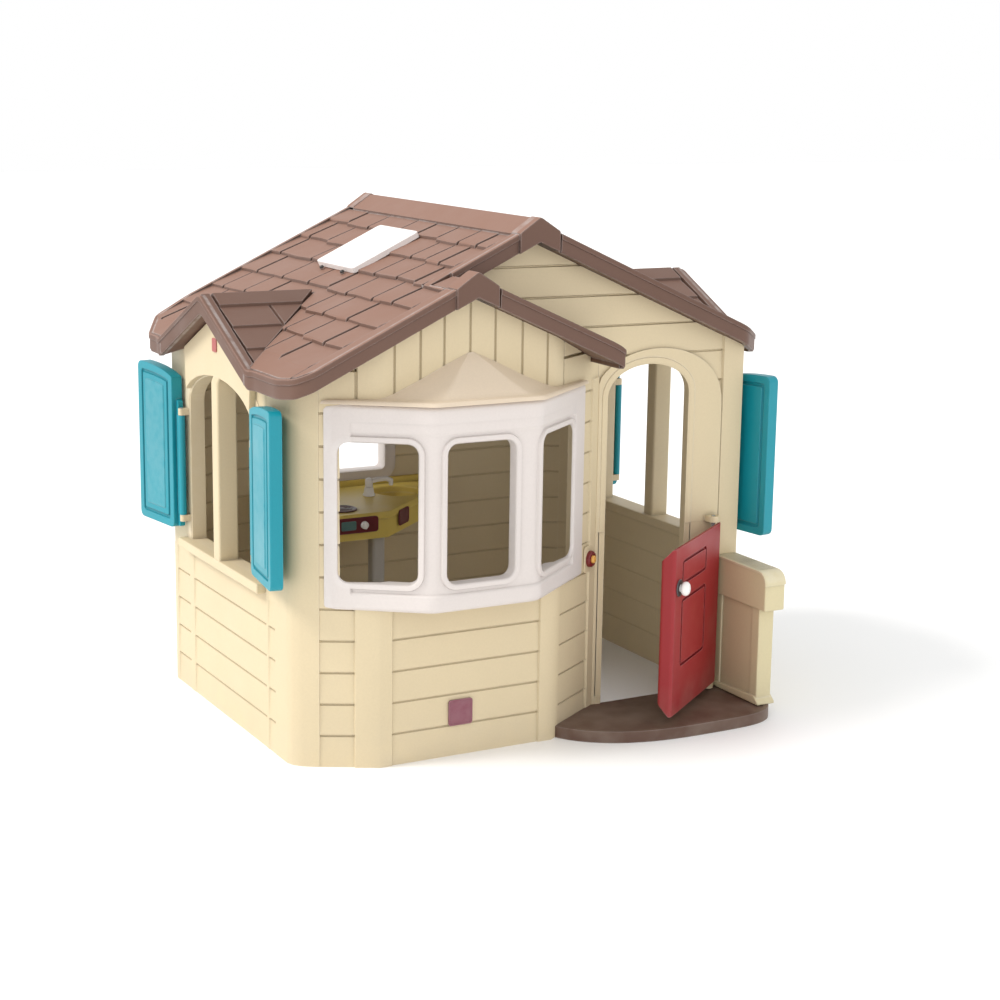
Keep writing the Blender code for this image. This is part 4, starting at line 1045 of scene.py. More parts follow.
def build_roofs():
    """The two main slopes with their dormers and ridge cap, and the low front gable."""
    ridge = SHINGLE_TOP
    low_ridge = low_height(LOW_RIDGE_X)
    seam = LOW_RIDGE_X - CAP_W + SLAB_IN - 0.0015
    front = [(seam, RAKE_LOW), (0.0, RAKE_LOW), (-0.045, -0.02), (-EAVE, 0.06)]
    back = [(RIDGE_X + CAP_W, ROOF_BACK), (RIDGE_X + CAP_W, RAKE_MAIN), (seam, RAKE_MAIN)]

    def left_border(x):
        return 0.010 if x < LOW_RIDGE_X - CAP_W - 0.002 else RAKE_MAIN + 0.050

    body = shingled(LEFT_JOINTS, left_border, main_height, (-0.07, RIDGE_X - CAP_W + 0.03), (-0.06, 1.27))
    size = dormer_size(main_height, DORMER_TOP)
    plan = inset(roof_plan(LEFT_DORMER_Y, size, front, back), SLAB_IN)
    body = carve(body, prism(plan, 0.5, 2.0), operation="INTERSECT")
    top_slab = slab([RAKE_MAIN + 0.002, ROOF_BACK - 0.002],
                    [RIDGE_X - CAP_W + 0.002, RIDGE_X, RIDGE_X + CAP_W - 0.002],
                    lambda y, x, d: (x, y, main_height(x) + d), lambda y, x: -0.002, lambda y, x: -ROOF_T)
    cap = ridge_bar(RIDGE_X, ridge, RAKE_MAIN + 0.02, ROOF_BACK - 0.02, 0.0190, CAP_W, -0.006)
    hoods = [soften(ridge_bar(RIDGE_X, ridge, *ends, CAP_RISE, CAP_W, -ROOF_T), 0.002, 50.0)
             for ends in ((RAKE_MAIN - 0.005, RAKE_MAIN + 0.050), (ROOF_BACK - 0.050, ROOF_BACK))]
    rake = sweep([(x, RAKE_MAIN, main_height(x)) for x in (RIDGE_X - CAP_W, LOW_RIDGE_X - 0.004)],
                 (0, 0, 1), FASCIA)
    path = eave_path(LEFT_DORMER_Y, main_height, DORMER_TOP, [(seam - 0.011, RAKE_LOW)] + front[1:],
                     RIDGE_X - CAP_W)
    fascia = sweep(path, (0, 0, 1), FASCIA)
    rear = sweep([(x, ROOF_BACK, main_height(x)) for x in (RIDGE_X, RIDGE_X + CAP_W - 0.002)], (0, 0, 1),
                 FASCIA)
    shape = merge(body, top_slab, cap, *hoods, rake, fascia, rear,
                  dormer_slab(LEFT_DORMER_Y, main_height, DORMER_TOP))
    cover("roof_left", shape, BROWN, sharp=32.0)

    inner = RIDGE_X - CAP_W - GAP
    front = [(inner, RAKE_MAIN), (0.02, RAKE_MAIN), (-0.03, RAKE_MAIN + 0.045), (-EAVE, 0.17)]
    body = shingled(RIGHT_JOINTS, lambda x: RAKE_MAIN + 0.050, mirror_height, (-0.07, inner + 0.02),
                    (0.08, 1.27))
    size = dormer_size(mirror_height, RIGHT_DORMER_TOP)
    seam = inner + SLAB_IN - 0.001
    plan = roof_plan(RIGHT_DORMER_Y, size, [(seam, RAKE_MAIN)] + front[1:], [(seam, ROOF_BACK)])
    body = carve(body, prism(inset(plan, SLAB_IN), 0.5, 2.0), operation="INTERSECT")
    path = eave_path(RIGHT_DORMER_Y, mirror_height, RIGHT_DORMER_TOP,
                     [(inner - 0.007, RAKE_MAIN)] + front[1:], inner - 0.002)
    shape = mirror_x(merge(body, sweep(path, (0, 0, 1), FASCIA),
                           dormer_slab(RIGHT_DORMER_Y, mirror_height, RIGHT_DORMER_TOP)))
    cover("roof_right", shape, BROWN, sharp=32.0)

    def low_relief(y, x):
        share = abs(x - LOW_RIDGE_X) / CAP_W
        return -0.002 + 0.008 * share - (0.005 if share < 0.04 else 0.0)

    span = [LOW_RIDGE_X - CAP_W + 0.001, LOW_RIDGE_X - 0.003, LOW_RIDGE_X, LOW_RIDGE_X + 0.003,
            LOW_RIDGE_X + CAP_W - 0.001]
    body = slab([RAKE_LOW + 0.002, RAKE_MAIN - 0.001], span, lambda y, x, d: (x, y, low_height(x) + d),
                low_relief, lambda y, x: -ROOF_T)
    hood = ridge_bar(LOW_RIDGE_X, low_ridge, RAKE_LOW - 0.005, RAKE_LOW + 0.055, CAP_RISE, CAP_W, -ROOF_T)
    cover("bay_ridge_cap", merge(body, soften(hood, 0.002, 50.0)), BROWN, sharp=32.0)

    inner = LOW_RIDGE_X + CAP_W + GAP
    reach = LOW_ROOF_END - inner
    body = shingled(SHORT_JOINTS, lambda x: 0.0, low_height, (-0.001, reach + 0.020), (-0.06, 0.15),
                    turn=lambda x: LOW_ROOF_END - x)
    seam = inner - SLAB_IN + 0.001
    rear = DOOR_WALL_Y + SLAB_IN - 0.003
    outline = [(seam, RAKE_LOW), (LOW_ROOF_END - 0.02, RAKE_LOW), (LOW_ROOF_END, RAKE_LOW + 0.02),
               (LOW_ROOF_END, rear), (seam, rear)]
    body = carve(body, prism(inset(outline, SLAB_IN), 0.5, 2.0), operation="INTERSECT")
    path = [(LOW_ROOF_END, DOOR_WALL_Y - 0.003), (LOW_ROOF_END, RAKE_LOW),
            (LOW_ROOF_END - 0.035, RAKE_LOW), (inner + 0.007, RAKE_LOW)]
    drops = (0.006, 0.006, 0.001, 0.0)
    path = [(x, y, low_height(x) - drop) for (x, y), drop in zip(path, drops)]
    fascia = sweep(fillet(path, 0.030, 6), (0, 0, 1), FASCIA)
    cover("bay_roof_right", merge(body, fascia), BROWN, sharp=32.0)


# ---- bay window --------------------------------------------------------------------------------
BAY_Z = (0.455, 1.030)
BAY_OUT = -0.110
BAY_CORNERS = (0.328, 0.655)
BAY_ENDS = ((0.074, 0.075), (0.917, 0.096))
BAY_SHELL = 0.035
PANE_Z = (0.535, 0.925)
PANE_MARGINS = ((0.044, 0.048), (0.040, 0.078), (0.020, 0.075))
BAY_RELIEF = ((0.455, -0.014), (0.4575, -0.006), (0.463, -0.0015), (0.469, 0.0), (0.499, 0.0),
              (0.505, -0.003), (0.508, -0.008), (0.946, -0.008), (0.952, -0.0055), (0.956, -0.0035),
              (0.978, -0.0035), (0.983, 0.0), (1.014, 0.0), (1.022, -0.002), (1.028, -0.008),
              (1.030, -0.016))
BAY_APEX = ((0.487, 0.003), (0.493, 0.003))
BAY_APEX_Z = 1.160


def bay_face():
    """Plan of the bay window's outer face, from the left."""
    return [BAY_ENDS[0], (BAY_CORNERS[0], BAY_OUT), (BAY_CORNERS[1], BAY_OUT), BAY_ENDS[1]]


def behind_bay_wall():
    """Everything behind the bay wall's face."""
    line = offset_line(list(reversed(bay_line())), GAP)
    return prism(line + [(0.0, 0.10), (0.0, 0.5), (1.2, 0.5), (1.2, DOOR_WALL_Y)], 0.0, 2.0)


def build_bay_window():
    """The hollow three-pane shell with its sunk face, and the small pointed roof over it."""
    line = fillet(bay_face(), 0.026, 6)
    lengths, place = along(line)
    levels = [z for z, d in BAY_RELIEF]
    depths = [d for z, d in BAY_RELIEF]
    stiles = [0.0, 0.078, 0.084, lengths[-1] - 0.076, lengths[-1] - 0.070, lengths[-1]]
    sunk = [0.0, 0.0, 1.0, 1.0, 0.0, 0.0]
    edge_z, edge = [BAY_Z[0], BAY_Z[0] + 0.012, BAY_Z[1] - 0.016, BAY_Z[1]], [1.0, 0.0, 0.0, 1.0]

    def face(u, v):
        share = max(between(u, stiles, sunk), between(v, edge_z, edge))
        return between(v, levels, depths) * share

    shell = slab(steps_of(lengths, stiles), levels, place, face, lambda u, v: -BAY_SHELL)
    solids = []
    for low, high in ((BAY_Z[0] + 0.0005, BAY_Z[0] + 0.040), (BAY_Z[1] - 0.040, BAY_Z[1] - 0.0005)):
        outline = offset_line(line, 0.020) + [(0.86, 0.20), (0.14, 0.20)]
        solids.append(prism(outline, low, high))
    tools = [behind_bay_wall()]
    rims = []
    corners = bay_face()
    for start, end, margin in zip(corners, corners[1:], PANE_MARGINS):
        run = Vector(end) - Vector(start)
        ahead = run.normalized()
        plane = facing((start[0], start[1], 0.0), (ahead.x, ahead.y, 0), (0, 0, 1), (ahead.y, -ahead.x, 0))
        pane = rounded((margin[0], PANE_Z[0]), (run.length - margin[1], PANE_Z[1]), 0.030)
        tools.append(prism(inset(pane, -0.0015), -0.06, 0.06, plane))
        rim = [(0.0, -BAY_SHELL - 0.002), (0.0, -0.006), (0.0035, -0.001), (0.007, 0.0), (0.016, -0.001),
               (0.019, -0.008), (0.019, -BAY_SHELL - 0.002)]
        path = [plane @ Vector((u, v, 0.0)) for u, v in pane]
        rims.append(sweep(path, plane.col[2].xyz, rim, closed=True))
    shell = carve(shell, *tools)
    shape = merge(shell, *[carve(solid, behind_bay_wall()) for solid in solids],
                  *[carve(rim, behind_bay_wall()) for rim in rims])
    piece("bay_window_shell", shape, BAY_WHITE, "house", ["bay_window_frame"])

    eave = fillet(offset_line(bay_face(), -0.010), 0.016, 6)
    eave_lengths, _ = along(eave)
    low = BAY_Z[1] + GAP
    rise_t = [0.0, 0.012, 0.035, 0.07, 0.15, 0.20, 0.28, 0.50, 0.74, 1.0]
    rises = (0.003, 0.009, 0.0115, 0.012, 0.013, 0.016, 0.0245, 0.055, 0.093)
    rise_z = [low + rise for rise in rises] + [BAY_APEX_Z]

    def roof_place(u, v, d):
        k = max(0, min(len(eave) - 2, int(np.searchsorted(eave_lengths, u, side="right")) - 1))
        share = (u - eave_lengths[k]) / (eave_lengths[k + 1] - eave_lengths[k])
        spot = Vector(eave[k]).lerp(Vector(eave[k + 1]), share)
        side = max(0.0, min(1.0, (spot.x - BAY_CORNERS[0]) / (BAY_CORNERS[1] - BAY_CORNERS[0])))
        spot = spot.lerp(Vector(BAY_APEX[0]).lerp(Vector(BAY_APEX[1]), side), v)
        return (spot.x, spot.y, between(v, rise_t, rise_z) + d)

    hood = slab(steps_of(eave_lengths), rise_t, roof_place, lambda u, v: 0.0,
                lambda u, v: low - between(v, rise_t, rise_z))
    hood = carve(hood, behind_bay_wall())
    cover("bay_window_roof", hood, BAY_BEIGE, sharp=50.0)


# ---- shutters ----------------------------------------------------------------------------------
SHUTTER_W = 0.237
SHUTTER_Z = (0.519, 0.972, 1.015)
SHUTTER_OPEN = math.radians(8.0)
STRIP_U = (0.016, 0.036)             # the hinge strip, measured from the pin
PANEL_U = 0.030                      # where the panel starts
PANEL_BACK, PANEL_FRONT = -0.0195, 0.0172
GROOVE = (0.024, 0.034)              # the moulding line, measured in from the panel's edge
CROWN_IN = 0.052


def shutter_outline(margin=0.0):
    """Front view of a shutter panel, shrunk by a margin. Its top rises from the hinge side."""
    bottom, hinge_top, free_top = SHUTTER_Z
    start, bottom = PANEL_U + margin, bottom + margin
    end = STRIP_U[0] + SHUTTER_W - margin
    corner = max(0.006, 0.020 - margin * 0.4)
    points = arc((start + corner, bottom + corner), corner, 180, 270, 4)
    points += arc((end - corner, bottom + corner), corner, 270, 360, 4)
    points += arc((end - corner, free_top - margin - corner), corner, 0, 90, 5)
    crest = end - corner
    for step in range(1, 21):
        u = crest - (crest - start) * step / 20
        share = (crest - u) / (SHUTTER_W - 0.02)
        rise = (free_top - hinge_top) * math.sqrt(max(0.0, 1 - share ** 2))
        points.append((u, hinge_top - margin + rise))
    return points


def build_shutter(name, side, hinge_y, toward):
    """A louvre-free play shutter: a set-back hinge strip and a panel with a sunk moulding line."""
    x = -HINGE_OUT if side < 0 else HOUSE_W + HINGE_OUT
    plane = (Matrix.Translation((x, hinge_y, 0)) @ Matrix.Rotation(-toward * side * SHUTTER_OPEN, 4, "Z")
             @ facing((0, 0, 0), (0, toward, 0), (0, 0, 1), (side, 0, 0)))
    body = prism(shutter_outline(), PANEL_BACK, PANEL_FRONT)
    grooves = []
    for low, high in ((0.0110, 0.03), (-0.03, -0.0140)):
        ring, field = shutter_outline(GROOVE[0]), shutter_outline(GROOVE[1])
        grooves.append(carve(prism(ring, low, high), prism(field, low - 0.01, high + 0.01)))
    body = soften(carve(body, *grooves), 0.0035, 50.0, 3)
    crown = soften(prism(shutter_outline(CROWN_IN), 0.012, 0.0197), 0.0040, 50.0, 3)
    near, far = STRIP_U
    foot = SHUTTER_Z[0] + 0.006
    strip = [(near, foot), (far, foot), (far, 0.922), (near, 0.915)]
    strip = soften(prism(strip, -0.0150, 0.003), 0.003, 50.0, 2)
    low, high = LUG_HEIGHTS[0][1] + 0.001, LUG_HEIGHTS[1][0] - 0.001
    bore = prism(arc((0, 0), PIN_R + PLAY, 0, 345, 23), low - 0.01, high + 0.01)
    knuckle = carve(prism(arc((0, 0), 0.0105, 0, 345, 23), low, high), bore)
    tongue = prism([(0.0085, -0.006), (0.020, -0.006), (0.020, 0.006), (0.0085, 0.006)], low, high)
    turn = Matrix(((1, 0, 0, 0), (0, 0, 1, 0), (0, 1, 0, 0), (0, 0, 0, 1)))
    for part in (knuckle, tongue):
        bmesh.ops.transform(part, matrix=turn, verts=part.verts)
        bmesh.ops.recalc_face_normals(part, faces=part.faces)
    shape = merge(body, crown, strip, knuckle, tongue)
    bmesh.ops.transform(shape, matrix=plane, verts=shape.verts)
    bmesh.ops.recalc_face_normals(shape, faces=shape.faces)
    cover(name, shape, TEAL, f"{name}_body")


def build_shutters():
    for side, label, middle in ((-1, "left", LEFT_DORMER_Y), (1, "right", RIGHT_DORMER_Y)):
        for toward, place in ((-1, "front"), (1, "rear")):
            hinge_y = middle + toward * (WINDOW_HALF + HINGE_BESIDE)
            build_shutter(f"{label}_{place}_shutter", side, hinge_y, toward)


# ---- door, porch and rail ----------------------------------------------------------------------
DOOR_LEN = 0.405
DOOR_T = 0.045
DOOR_Z = (0.060, 0.565)
DOOR_CHAMFER = 0.040
DOOR_OPEN = math.radians(37.0)
DOOR_PANELS = (((-0.338, 0.198), (-0.120, 0.405)), ((-0.338, 0.447), (-0.120, 0.522)))
KNOB = (-0.365, 0.445)
PORCH_TOP = 0.035
PORCH_MIDDLE = 1.19
PORCH_DEEP = 0.310
RAIL_X = 1.4655                      # middle of the porch rail's panel and posts


def build_door():
    """The half door, turned to where it stands open, and its knob."""
    half = DOOR_T / 2
    hinge = Matrix.Translation((*DOOR_AXIS, 0.0)) @ Matrix.Rotation(DOOR_OPEN, 4, "Z")
    plan = arc((-DOOR_LEN + 0.012, half - 0.012), 0.012, 90, 180, 4)
    plan += arc((-DOOR_LEN + 0.012, -half + 0.012), 0.012, 180, 270, 4)
    plan += arc((0, 0), half, -90, 90, 16)
    body = prism(plan, *DOOR_Z)
    tools = [prism(arc((0, 0), DOOR_PIN_R + PLAY, 0, 342, 19), 0.0, 0.7)]
    for edge, sign in ((DOOR_Z[1], 1), (DOOR_Z[0], -1)):
        inner, outer = edge - DOOR_CHAMFER * sign, edge + 0.02 * sign
        wedge = [(-half + 0.008, outer), (-half + 0.008, edge), (half, inner), (half + 0.06, inner),
                 (half + 0.06, outer)]
        tools.append(prism(wedge, -0.5, 0.1, side_view()))
    for low, high in DOOR_PANELS:
        for reach in ((half - 0.0055, 0.05), (-0.05, -half + 0.0055)):
            ring = prism(rounded(low, high, 0.016, 5), *reach, front_view())
            hole = inset(rounded(low, high, 0.016, 5), 0.009)
            tools.append(carve(ring, prism(hole, -0.1, 0.1, front_view())))
    body = soften(carve(body, *tools), 0.003, 38.0, 3)
    bmesh.ops.transform(body, matrix=hinge, verts=body.verts)
    cover("door_leaf", body, RED, "door", sharp=50.0)

    # The dark disc behind the knob is a painted shadow: a flat dark ring where the knob's shade falls on the
    # door.
    front = hinge @ facing((KNOB[0], -half, KNOB[1]), (1, 0, 0), (0, 0, 1), (0, -1, 0))
    knob_shadow_disc = turned([(0.0, 0.0004), (0.0250, 0.0004), (0.0262, 0.0020), (0.0245, 0.0042), (0.0, 0.0050)],
                     front, 40)
    piece("door_knob_shadow_disc", knob_shadow_disc, KNOB_SHADOW, "door", ())
    ball = turned([(0.0, 0.004), (0.0110, 0.004), (0.0105, 0.009), (0.0160, 0.0105), (0.0203, 0.0150),
                   (0.0212, 0.0200), (0.0200, 0.0255), (0.0160, 0.0300), (0.0090, 0.0328), (0.0, 0.0336)],
                  front, 40)
    piece("door_knob_ball", ball, WHITE, "door", ["door_knob"], sharp=60.0)


def porch_outline(shrink=0.0):
    """Front edge of the step: a long curve on the left and a squarer one on the right."""
    back = DOOR_WALL_Y - 0.001
    points = []
    for full, half, steps, side in ((2.4, 0.43, 40, -1), (4.5, 0.315, 40, 1)):
        for step in range(steps + 1):
            share = math.sin(math.pi / 2 * step / steps)
            share = 1 - share if side < 0 else share
            x = PORCH_MIDDLE + side * (half - shrink) * share
            deep = (PORCH_DEEP - shrink) * (1 - share ** full) ** (1 / full)
            if not points or abs(x - points[-1][0]) > 1e-4:
                points.append((x, back - deep))
    return points


def build_porch():
    """The brown step, and the rail that stands on its right edge."""
    body = prism(porch_outline(), 0.0, PORCH_TOP)
    recess = prism(porch_outline(0.013), PORCH_TOP - 0.0022, 0.1)
    body = carve(body, recess, behind_bay_wall())
    body = soften(body, 0.0035, 40.0, 3, lambda edge: all(v.co.z > 0.02 for v in edge.verts)
                  and abs(edge.verts[0].co.z - edge.verts[1].co.z) < 1e-5)
    cover("porch_step", body, PORCH, sharp=35.0)

    back = DOOR_WALL_Y - 0.001
    low = PORCH_TOP + GAP
    panel = prism([(back, low), (back, 0.40), (-0.080, 0.40), (-0.080, low)],
                  RAIL_X - 0.023, RAIL_X + 0.023, side_view())
    posts = []
    for start, end in ((-0.085, -0.046), (0.112, back)):
        post = prism(rounded((start, low), (end, 0.36), 0.004, 2), RAIL_X - 0.027, RAIL_X + 0.027, side_view())
        posts.append(soften(post, 0.004, 50.0, 3))
    foot = soften(prism([(back, low), (back, 0.050), (-0.076, 0.062), (-0.098, 0.044), (-0.100, low)],
                        1.4330, 1.4980, side_view()), 0.004, 40.0, 3)
    cap = [(back, 0.335), (back, 0.457), (0.02, 0.4565)]
    cap += arc((-0.082, 0.418), 0.038, 90, 180, 8) + [(-0.120, 0.335)]
    cap_body = soften(prism(cap, 1.4315, 1.5035, side_view()), 0.005, 60.0, 3)
    line = [(1.467, y, z) for y, z in cap[1:-1]]
    bead = sweep(line, (1, 0, 0), [(-0.0035, -0.0375), (0.0015, -0.0375), (0.0035, -0.034),
                                   (0.0035, 0.034), (0.0015, 0.0375), (-0.0035, 0.0375)])
    bmesh.ops.translate(bead, verts=bead.verts, vec=(0, 0, -0.0035))
    cover("porch_rail", merge(panel, *posts, foot, cap_body, bead), RAIL)


# ---- small fittings ----------------------------------------------------------------------------
def raised_plate(outline, thickness, frame, bevel=0.0012, field=0.0):
    """A plate with softened edges and, where field is given, a slightly sunk middle."""
    body = prism(outline, 0.0006, thickness)
    if field:
        body = carve(body, prism(inset(outline, field), thickness - 0.0012, 1.0))
    body = soften(body, bevel, 50.0, 2, lambda edge: all(v.co.z > thickness / 2 for v in edge.verts))
    bmesh.ops.transform(body, matrix=frame, verts=body.verts)
    return body


def build_fittings():
    """The doorbell, the two plain plates and the skylight with its studs."""
    run = (Vector((FACET_END, DOOR_WALL_Y)) - Vector((BAY_RIGHT, 0.0))).normalized()
    spot = Vector((BAY_RIGHT, 0.0)) + run * 0.228
    bell = facing((spot.x, spot.y, 0.497), (run.x, run.y, 0), (0, 0, 1), (run.y, -run.x, 0))
    plate = raised_plate(rounded((-0.028, -0.040), (0.028, 0.040), 0.010), 0.0055, bell, 0.0016)
    cover("doorbell_plate", plate, CREAM)
    ring = turned([(0.0, 0.0058), (0.0245, 0.0058), (0.0250, 0.0085), (0.0243, 0.0150), (0.0215, 0.0182),
                   (0.0170, 0.0190), (0.0138, 0.0178), (0.0126, 0.0150), (0.0126, 0.0075), (0.0, 0.0075)],
                  bell @ Matrix.Diagonal((0.98, 1.0, 1.0, 1.0)), 48)
    cover("doorbell_housing", ring, BELL_RED, sharp=60.0)
    button = turned([(0.0, 0.0120), (0.0118, 0.0120), (0.0118, 0.0205), (0.0108, 0.0232),
                     (0.0080, 0.0246), (0.0, 0.0252)], bell, 40)
    cover("doorbell_button", button, BELL_YELLOW, "doorbell_button_body", sharp=60.0)

    front = facing((0.467, 0.0, 0.128), (1, 0, 0), (0, 0, 1), (0, -1, 0))
    plate = raised_plate(rounded((-0.038, -0.038), (0.038, 0.038), 0.008), 0.0050, front, 0.0010, 0.005)
    piece("front_plate", plate, PLATE, "house", ["front_badge"])
    side = facing((-GABLE_OUT, LEFT_DORMER_Y, 1.125), (0, -1, 0), (0, 0, 1), (-1, 0, 0))
    plate = raised_plate(rounded((-0.016, -0.020), (0.016, 0.020), 0.006), 0.0042, side, 0.0010)
    piece("dormer_plate", plate, PLATE_RED, "house", ["dormer_badge"])

    tilt = math.atan(SLOPE)
    slope = facing((0.400, 0.705, main_height(0.400)), (math.cos(tilt), 0, math.sin(tilt)), (0, 1, 0),
                   (-math.sin(tilt), 0, math.cos(tilt)))
    outline = rounded((0.0, -0.135), (0.240, 0.135), 0.014)
    opening = rounded((0.016, -0.119), (0.224, 0.119), 0.006)
    frame_body = carve(prism(outline, 0.0005, 0.0170), prism(opening, 0.0140, 1.0))
    frame_body = soften(frame_body, 0.0025, 50.0, 3, lambda edge: all(v.co.z > 0.008 for v in edge.verts))
    sheet = soften(prism(rounded((0.019, -0.116), (0.221, 0.116), 0.006), 0.010, 0.0160), 0.0015, 50.0, 2)
    shape = merge(frame_body, sheet)
    bmesh.ops.transform(shape, matrix=slope, verts=shape.verts)
    piece("skylight_panel", shape, SKYLIGHT, "house", ["skylight"])
    for label, y in (("front", -0.075), ("rear", 0.075)):
        spot = slope @ Matrix.Translation((-0.012, y, 0.003))
        stud = turned([(0.0, 0.0005), (0.0068, 0.0005), (0.0070, 0.0050), (0.0055, 0.0078), (0.0, 0.0084)],
                      spot, 28)
        cover(f"skylight_stud_{label}", stud, STUD, sharp=60.0)


# ---- kitchen -----------------------------------------------------------------------------------
COUNTER_TOP = 0.550
COUNTER_DEEP = 0.085
KITCHEN_BACK = BACK_Y - WALL_T - 0.002
COUNTER_LEFT = 0.300
COUNTER_FRONT = 0.745
COUNTER_CORNER = 0.600
COUNTER_SIDE = (0.925, 1.030)
BASIN = (0.760, 1.020)
FAUCET = (0.640, 0.985)


def build_kitchen():
    """The corner counter with its bowl, burners, legs, panels, dials and faucet."""
    low = COUNTER_TOP - COUNTER_DEEP
    plan = [(COUNTER_LEFT, KITCHEN_BACK), (COUNTER_LEFT, COUNTER_FRONT), (COUNTER_CORNER, COUNTER_FRONT),
            COUNTER_SIDE, (COUNTER_SIDE[0] + 0.01, KITCHEN_BACK)]
    top = prism(plan, COUNTER_TOP - 0.024, COUNTER_TOP)
    bowl = turned([(0.0, -0.058), (0.050, -0.056), (0.068, -0.048), (0.076, -0.030), (0.080, -0.004),
                   (0.084, 0.004), (0.084, 0.05), (0.0, 0.05)], Matrix.Translation((*BASIN, COUNTER_TOP)), 48)
    apron = prism(inset(plan, 0.006), low, COUNTER_TOP - 0.020)
    bowl_copy = bowl.copy()
    top = soften(carve(top, bowl), 0.005, 50.0, 3,
                 lambda edge: all(v.co.z > COUNTER_TOP - 0.03 for v in edge.verts))
    apron = carve(apron, bowl_copy)
    splash = soften(box((COUNTER_LEFT, KITCHEN_BACK - 0.015, COUNTER_TOP - 0.01),
                        (COUNTER_SIDE[0] + 0.005, KITCHEN_BACK, COUNTER_TOP + 0.020)), 0.004, 50.0, 3)
    piece("counter_shell", merge(top, apron, splash), COUNTER, "house", ["kitchen_counter"])

    for index, spot in enumerate(((0.395, 0.960), (0.470, 0.825))):
        rings = [(0.0, 0.0010), (0.0495, 0.0010), (0.0500, 0.0030), (0.0485, 0.0050), (0.0440, 0.0058)]
        for radius in (0.036, 0.026, 0.016):
            rings += [(radius + 0.004, 0.0056), (radius + 0.002, 0.0038),
                      (radius - 0.001, 0.0038), (radius - 0.003, 0.0056)]
        rings.append((0.0, 0.0058))
        disc = turned(rings, Matrix.Translation((*spot, COUNTER_TOP)), 48)
        cover(f"burner_{index + 1}", disc, BURNER)

    for label, x in (("left", 0.330), ("right", 0.590)):
        leg = prism(rounded((x - 0.022, 0.800), (x + 0.022, 0.844), 0.010, 5), 0.0, low - GAP)
        foot = prism(rounded((x - 0.024, 0.798), (x + 0.024, 0.846), 0.011, 5), 0.0, 0.022)
        cover(f"counter_leg_{label}", merge(leg, soften(foot, 0.004, 50.0, 2)), LEG)

    front = facing((0.0, COUNTER_FRONT, 0.0), (1, 0, 0), (0, 0, 1), (0, -1, 0))
    plate = raised_plate(rounded((0.355, low + 0.025), (0.560, COUNTER_TOP - 0.010), 0.010), 0.0044, front)
    cover("control_panel", plate, PANEL_RED)
    screen = raised_plate(rounded((0.432, low + 0.036), (0.483, COUNTER_TOP - 0.020), 0.005),
                          0.0056, front, 0.0006)
    piece("control_panel_screen", screen, SCREEN, "house", ())
    run = (Vector(COUNTER_SIDE) - Vector((COUNTER_CORNER, COUNTER_FRONT))).normalized()
    side = facing((COUNTER_CORNER, COUNTER_FRONT, 0.0), (run.x, run.y, 0), (0, 0, 1), (run.y, -run.x, 0))
    plate = raised_plate(rounded((0.070, low + 0.022), (0.150, COUNTER_TOP - 0.012), 0.010), 0.0044, side,
                         0.0010, 0.006)
    cover("side_panel", plate, PANEL_RED)
    for index, x in enumerate((0.405, 0.510)):
        dial = facing((x, COUNTER_FRONT, COUNTER_TOP - 0.035), (1, 0, 0), (0, 0, 1), (0, -1, 0))
        skirt = turned([(0.0, 0.0047), (0.0122, 0.0047), (0.0125, 0.0065), (0.0118, 0.0140),
                        (0.0100, 0.0158), (0.0, 0.0162)], dial, 40)
        grip = prism(rounded((-0.003, -0.0108), (0.003, 0.0108), 0.0026, 4), 0.014, 0.0218, dial)
        soften(grip, 0.0008, 50.0, 2)
        name = f"stove_dial_{index + 1}"
        cover(name, merge(skirt, grip), WHITE, f"{name}_body", sharp=60.0)

    base = turned([(0.0, 0.0006), (0.0198, 0.0006), (0.0200, 0.0050), (0.0170, 0.0090), (0.0150, 0.0240),
                   (0.0135, 0.0292), (0.0, 0.0295)], Matrix.Translation((*FAUCET, COUNTER_TOP)), 40)
    cover("faucet_base", base, WHITE, sharp=60.0)
    top_z = COUNTER_TOP + 0.0305
    neck = turned([(0.0, 0.0), (0.0128, 0.0), (0.0130, 0.0180), (0.0118, 0.0240), (0.0080, 0.0275),
                   (0.0, 0.0285)], Matrix.Translation((*FAUCET, top_z)), 40)
    arm_path = [(FAUCET[0] + reach, FAUCET[1], top_z + rise)
                for reach, rise in ((0.0, 0.016), (0.030, 0.021), (0.062, 0.021), (0.076, 0.0155))]
    arm = sweep(fillet(arm_path, 0.014, 5), (0, 1, 0), arc((0, 0), 0.0080, 0, 337.5, 15))
    nose = turned([(0.0, -0.0020), (0.0064, -0.0020), (0.0072, 0.0), (0.0076, 0.0160), (0.0050, 0.0205),
                   (0.0, 0.0215)], Matrix.Translation((FAUCET[0] + 0.079, FAUCET[1], top_z)), 28)
    cover("faucet_spout", merge(neck, arm, nose), WHITE, "faucet_spout_body", sharp=60.0)


def paint_pins():
    """The CAD pins are kept, with a better material."""
    for name in ("left_front_shutter_pin", "left_rear_shutter_pin", "right_front_shutter_pin",
                 "right_rear_shutter_pin", "door_pin"):
        mesh = frame["nodes"][name].data
        mesh.materials.clear()
        mesh.materials.append(GREY)
        mesh.shade_smooth()
        mesh.set_sharp_from_angle(angle=math.radians(35))


build_side_walls()
build_bay_wall()
build_door_wall()
build_back_wall()
build_roofs()
build_bay_window()
build_shutters()
build_door()
build_porch()
build_fittings()
build_kitchen()
paint_pins()


# ---- camera, light and floor -------------------------------------------------------------------
CAMERA_SPOT = (-2.0733, -4.8435, 1.9188)
CAMERA_TURN = (28.775, -12.116, 0.847)              # yaw to the right, pitch up and roll, in degrees
SENSOR = 36.0
FOCAL = 2.0117                       # focal length in sensor widths
SUN_WAY = (0.68, -0.18, -0.69)


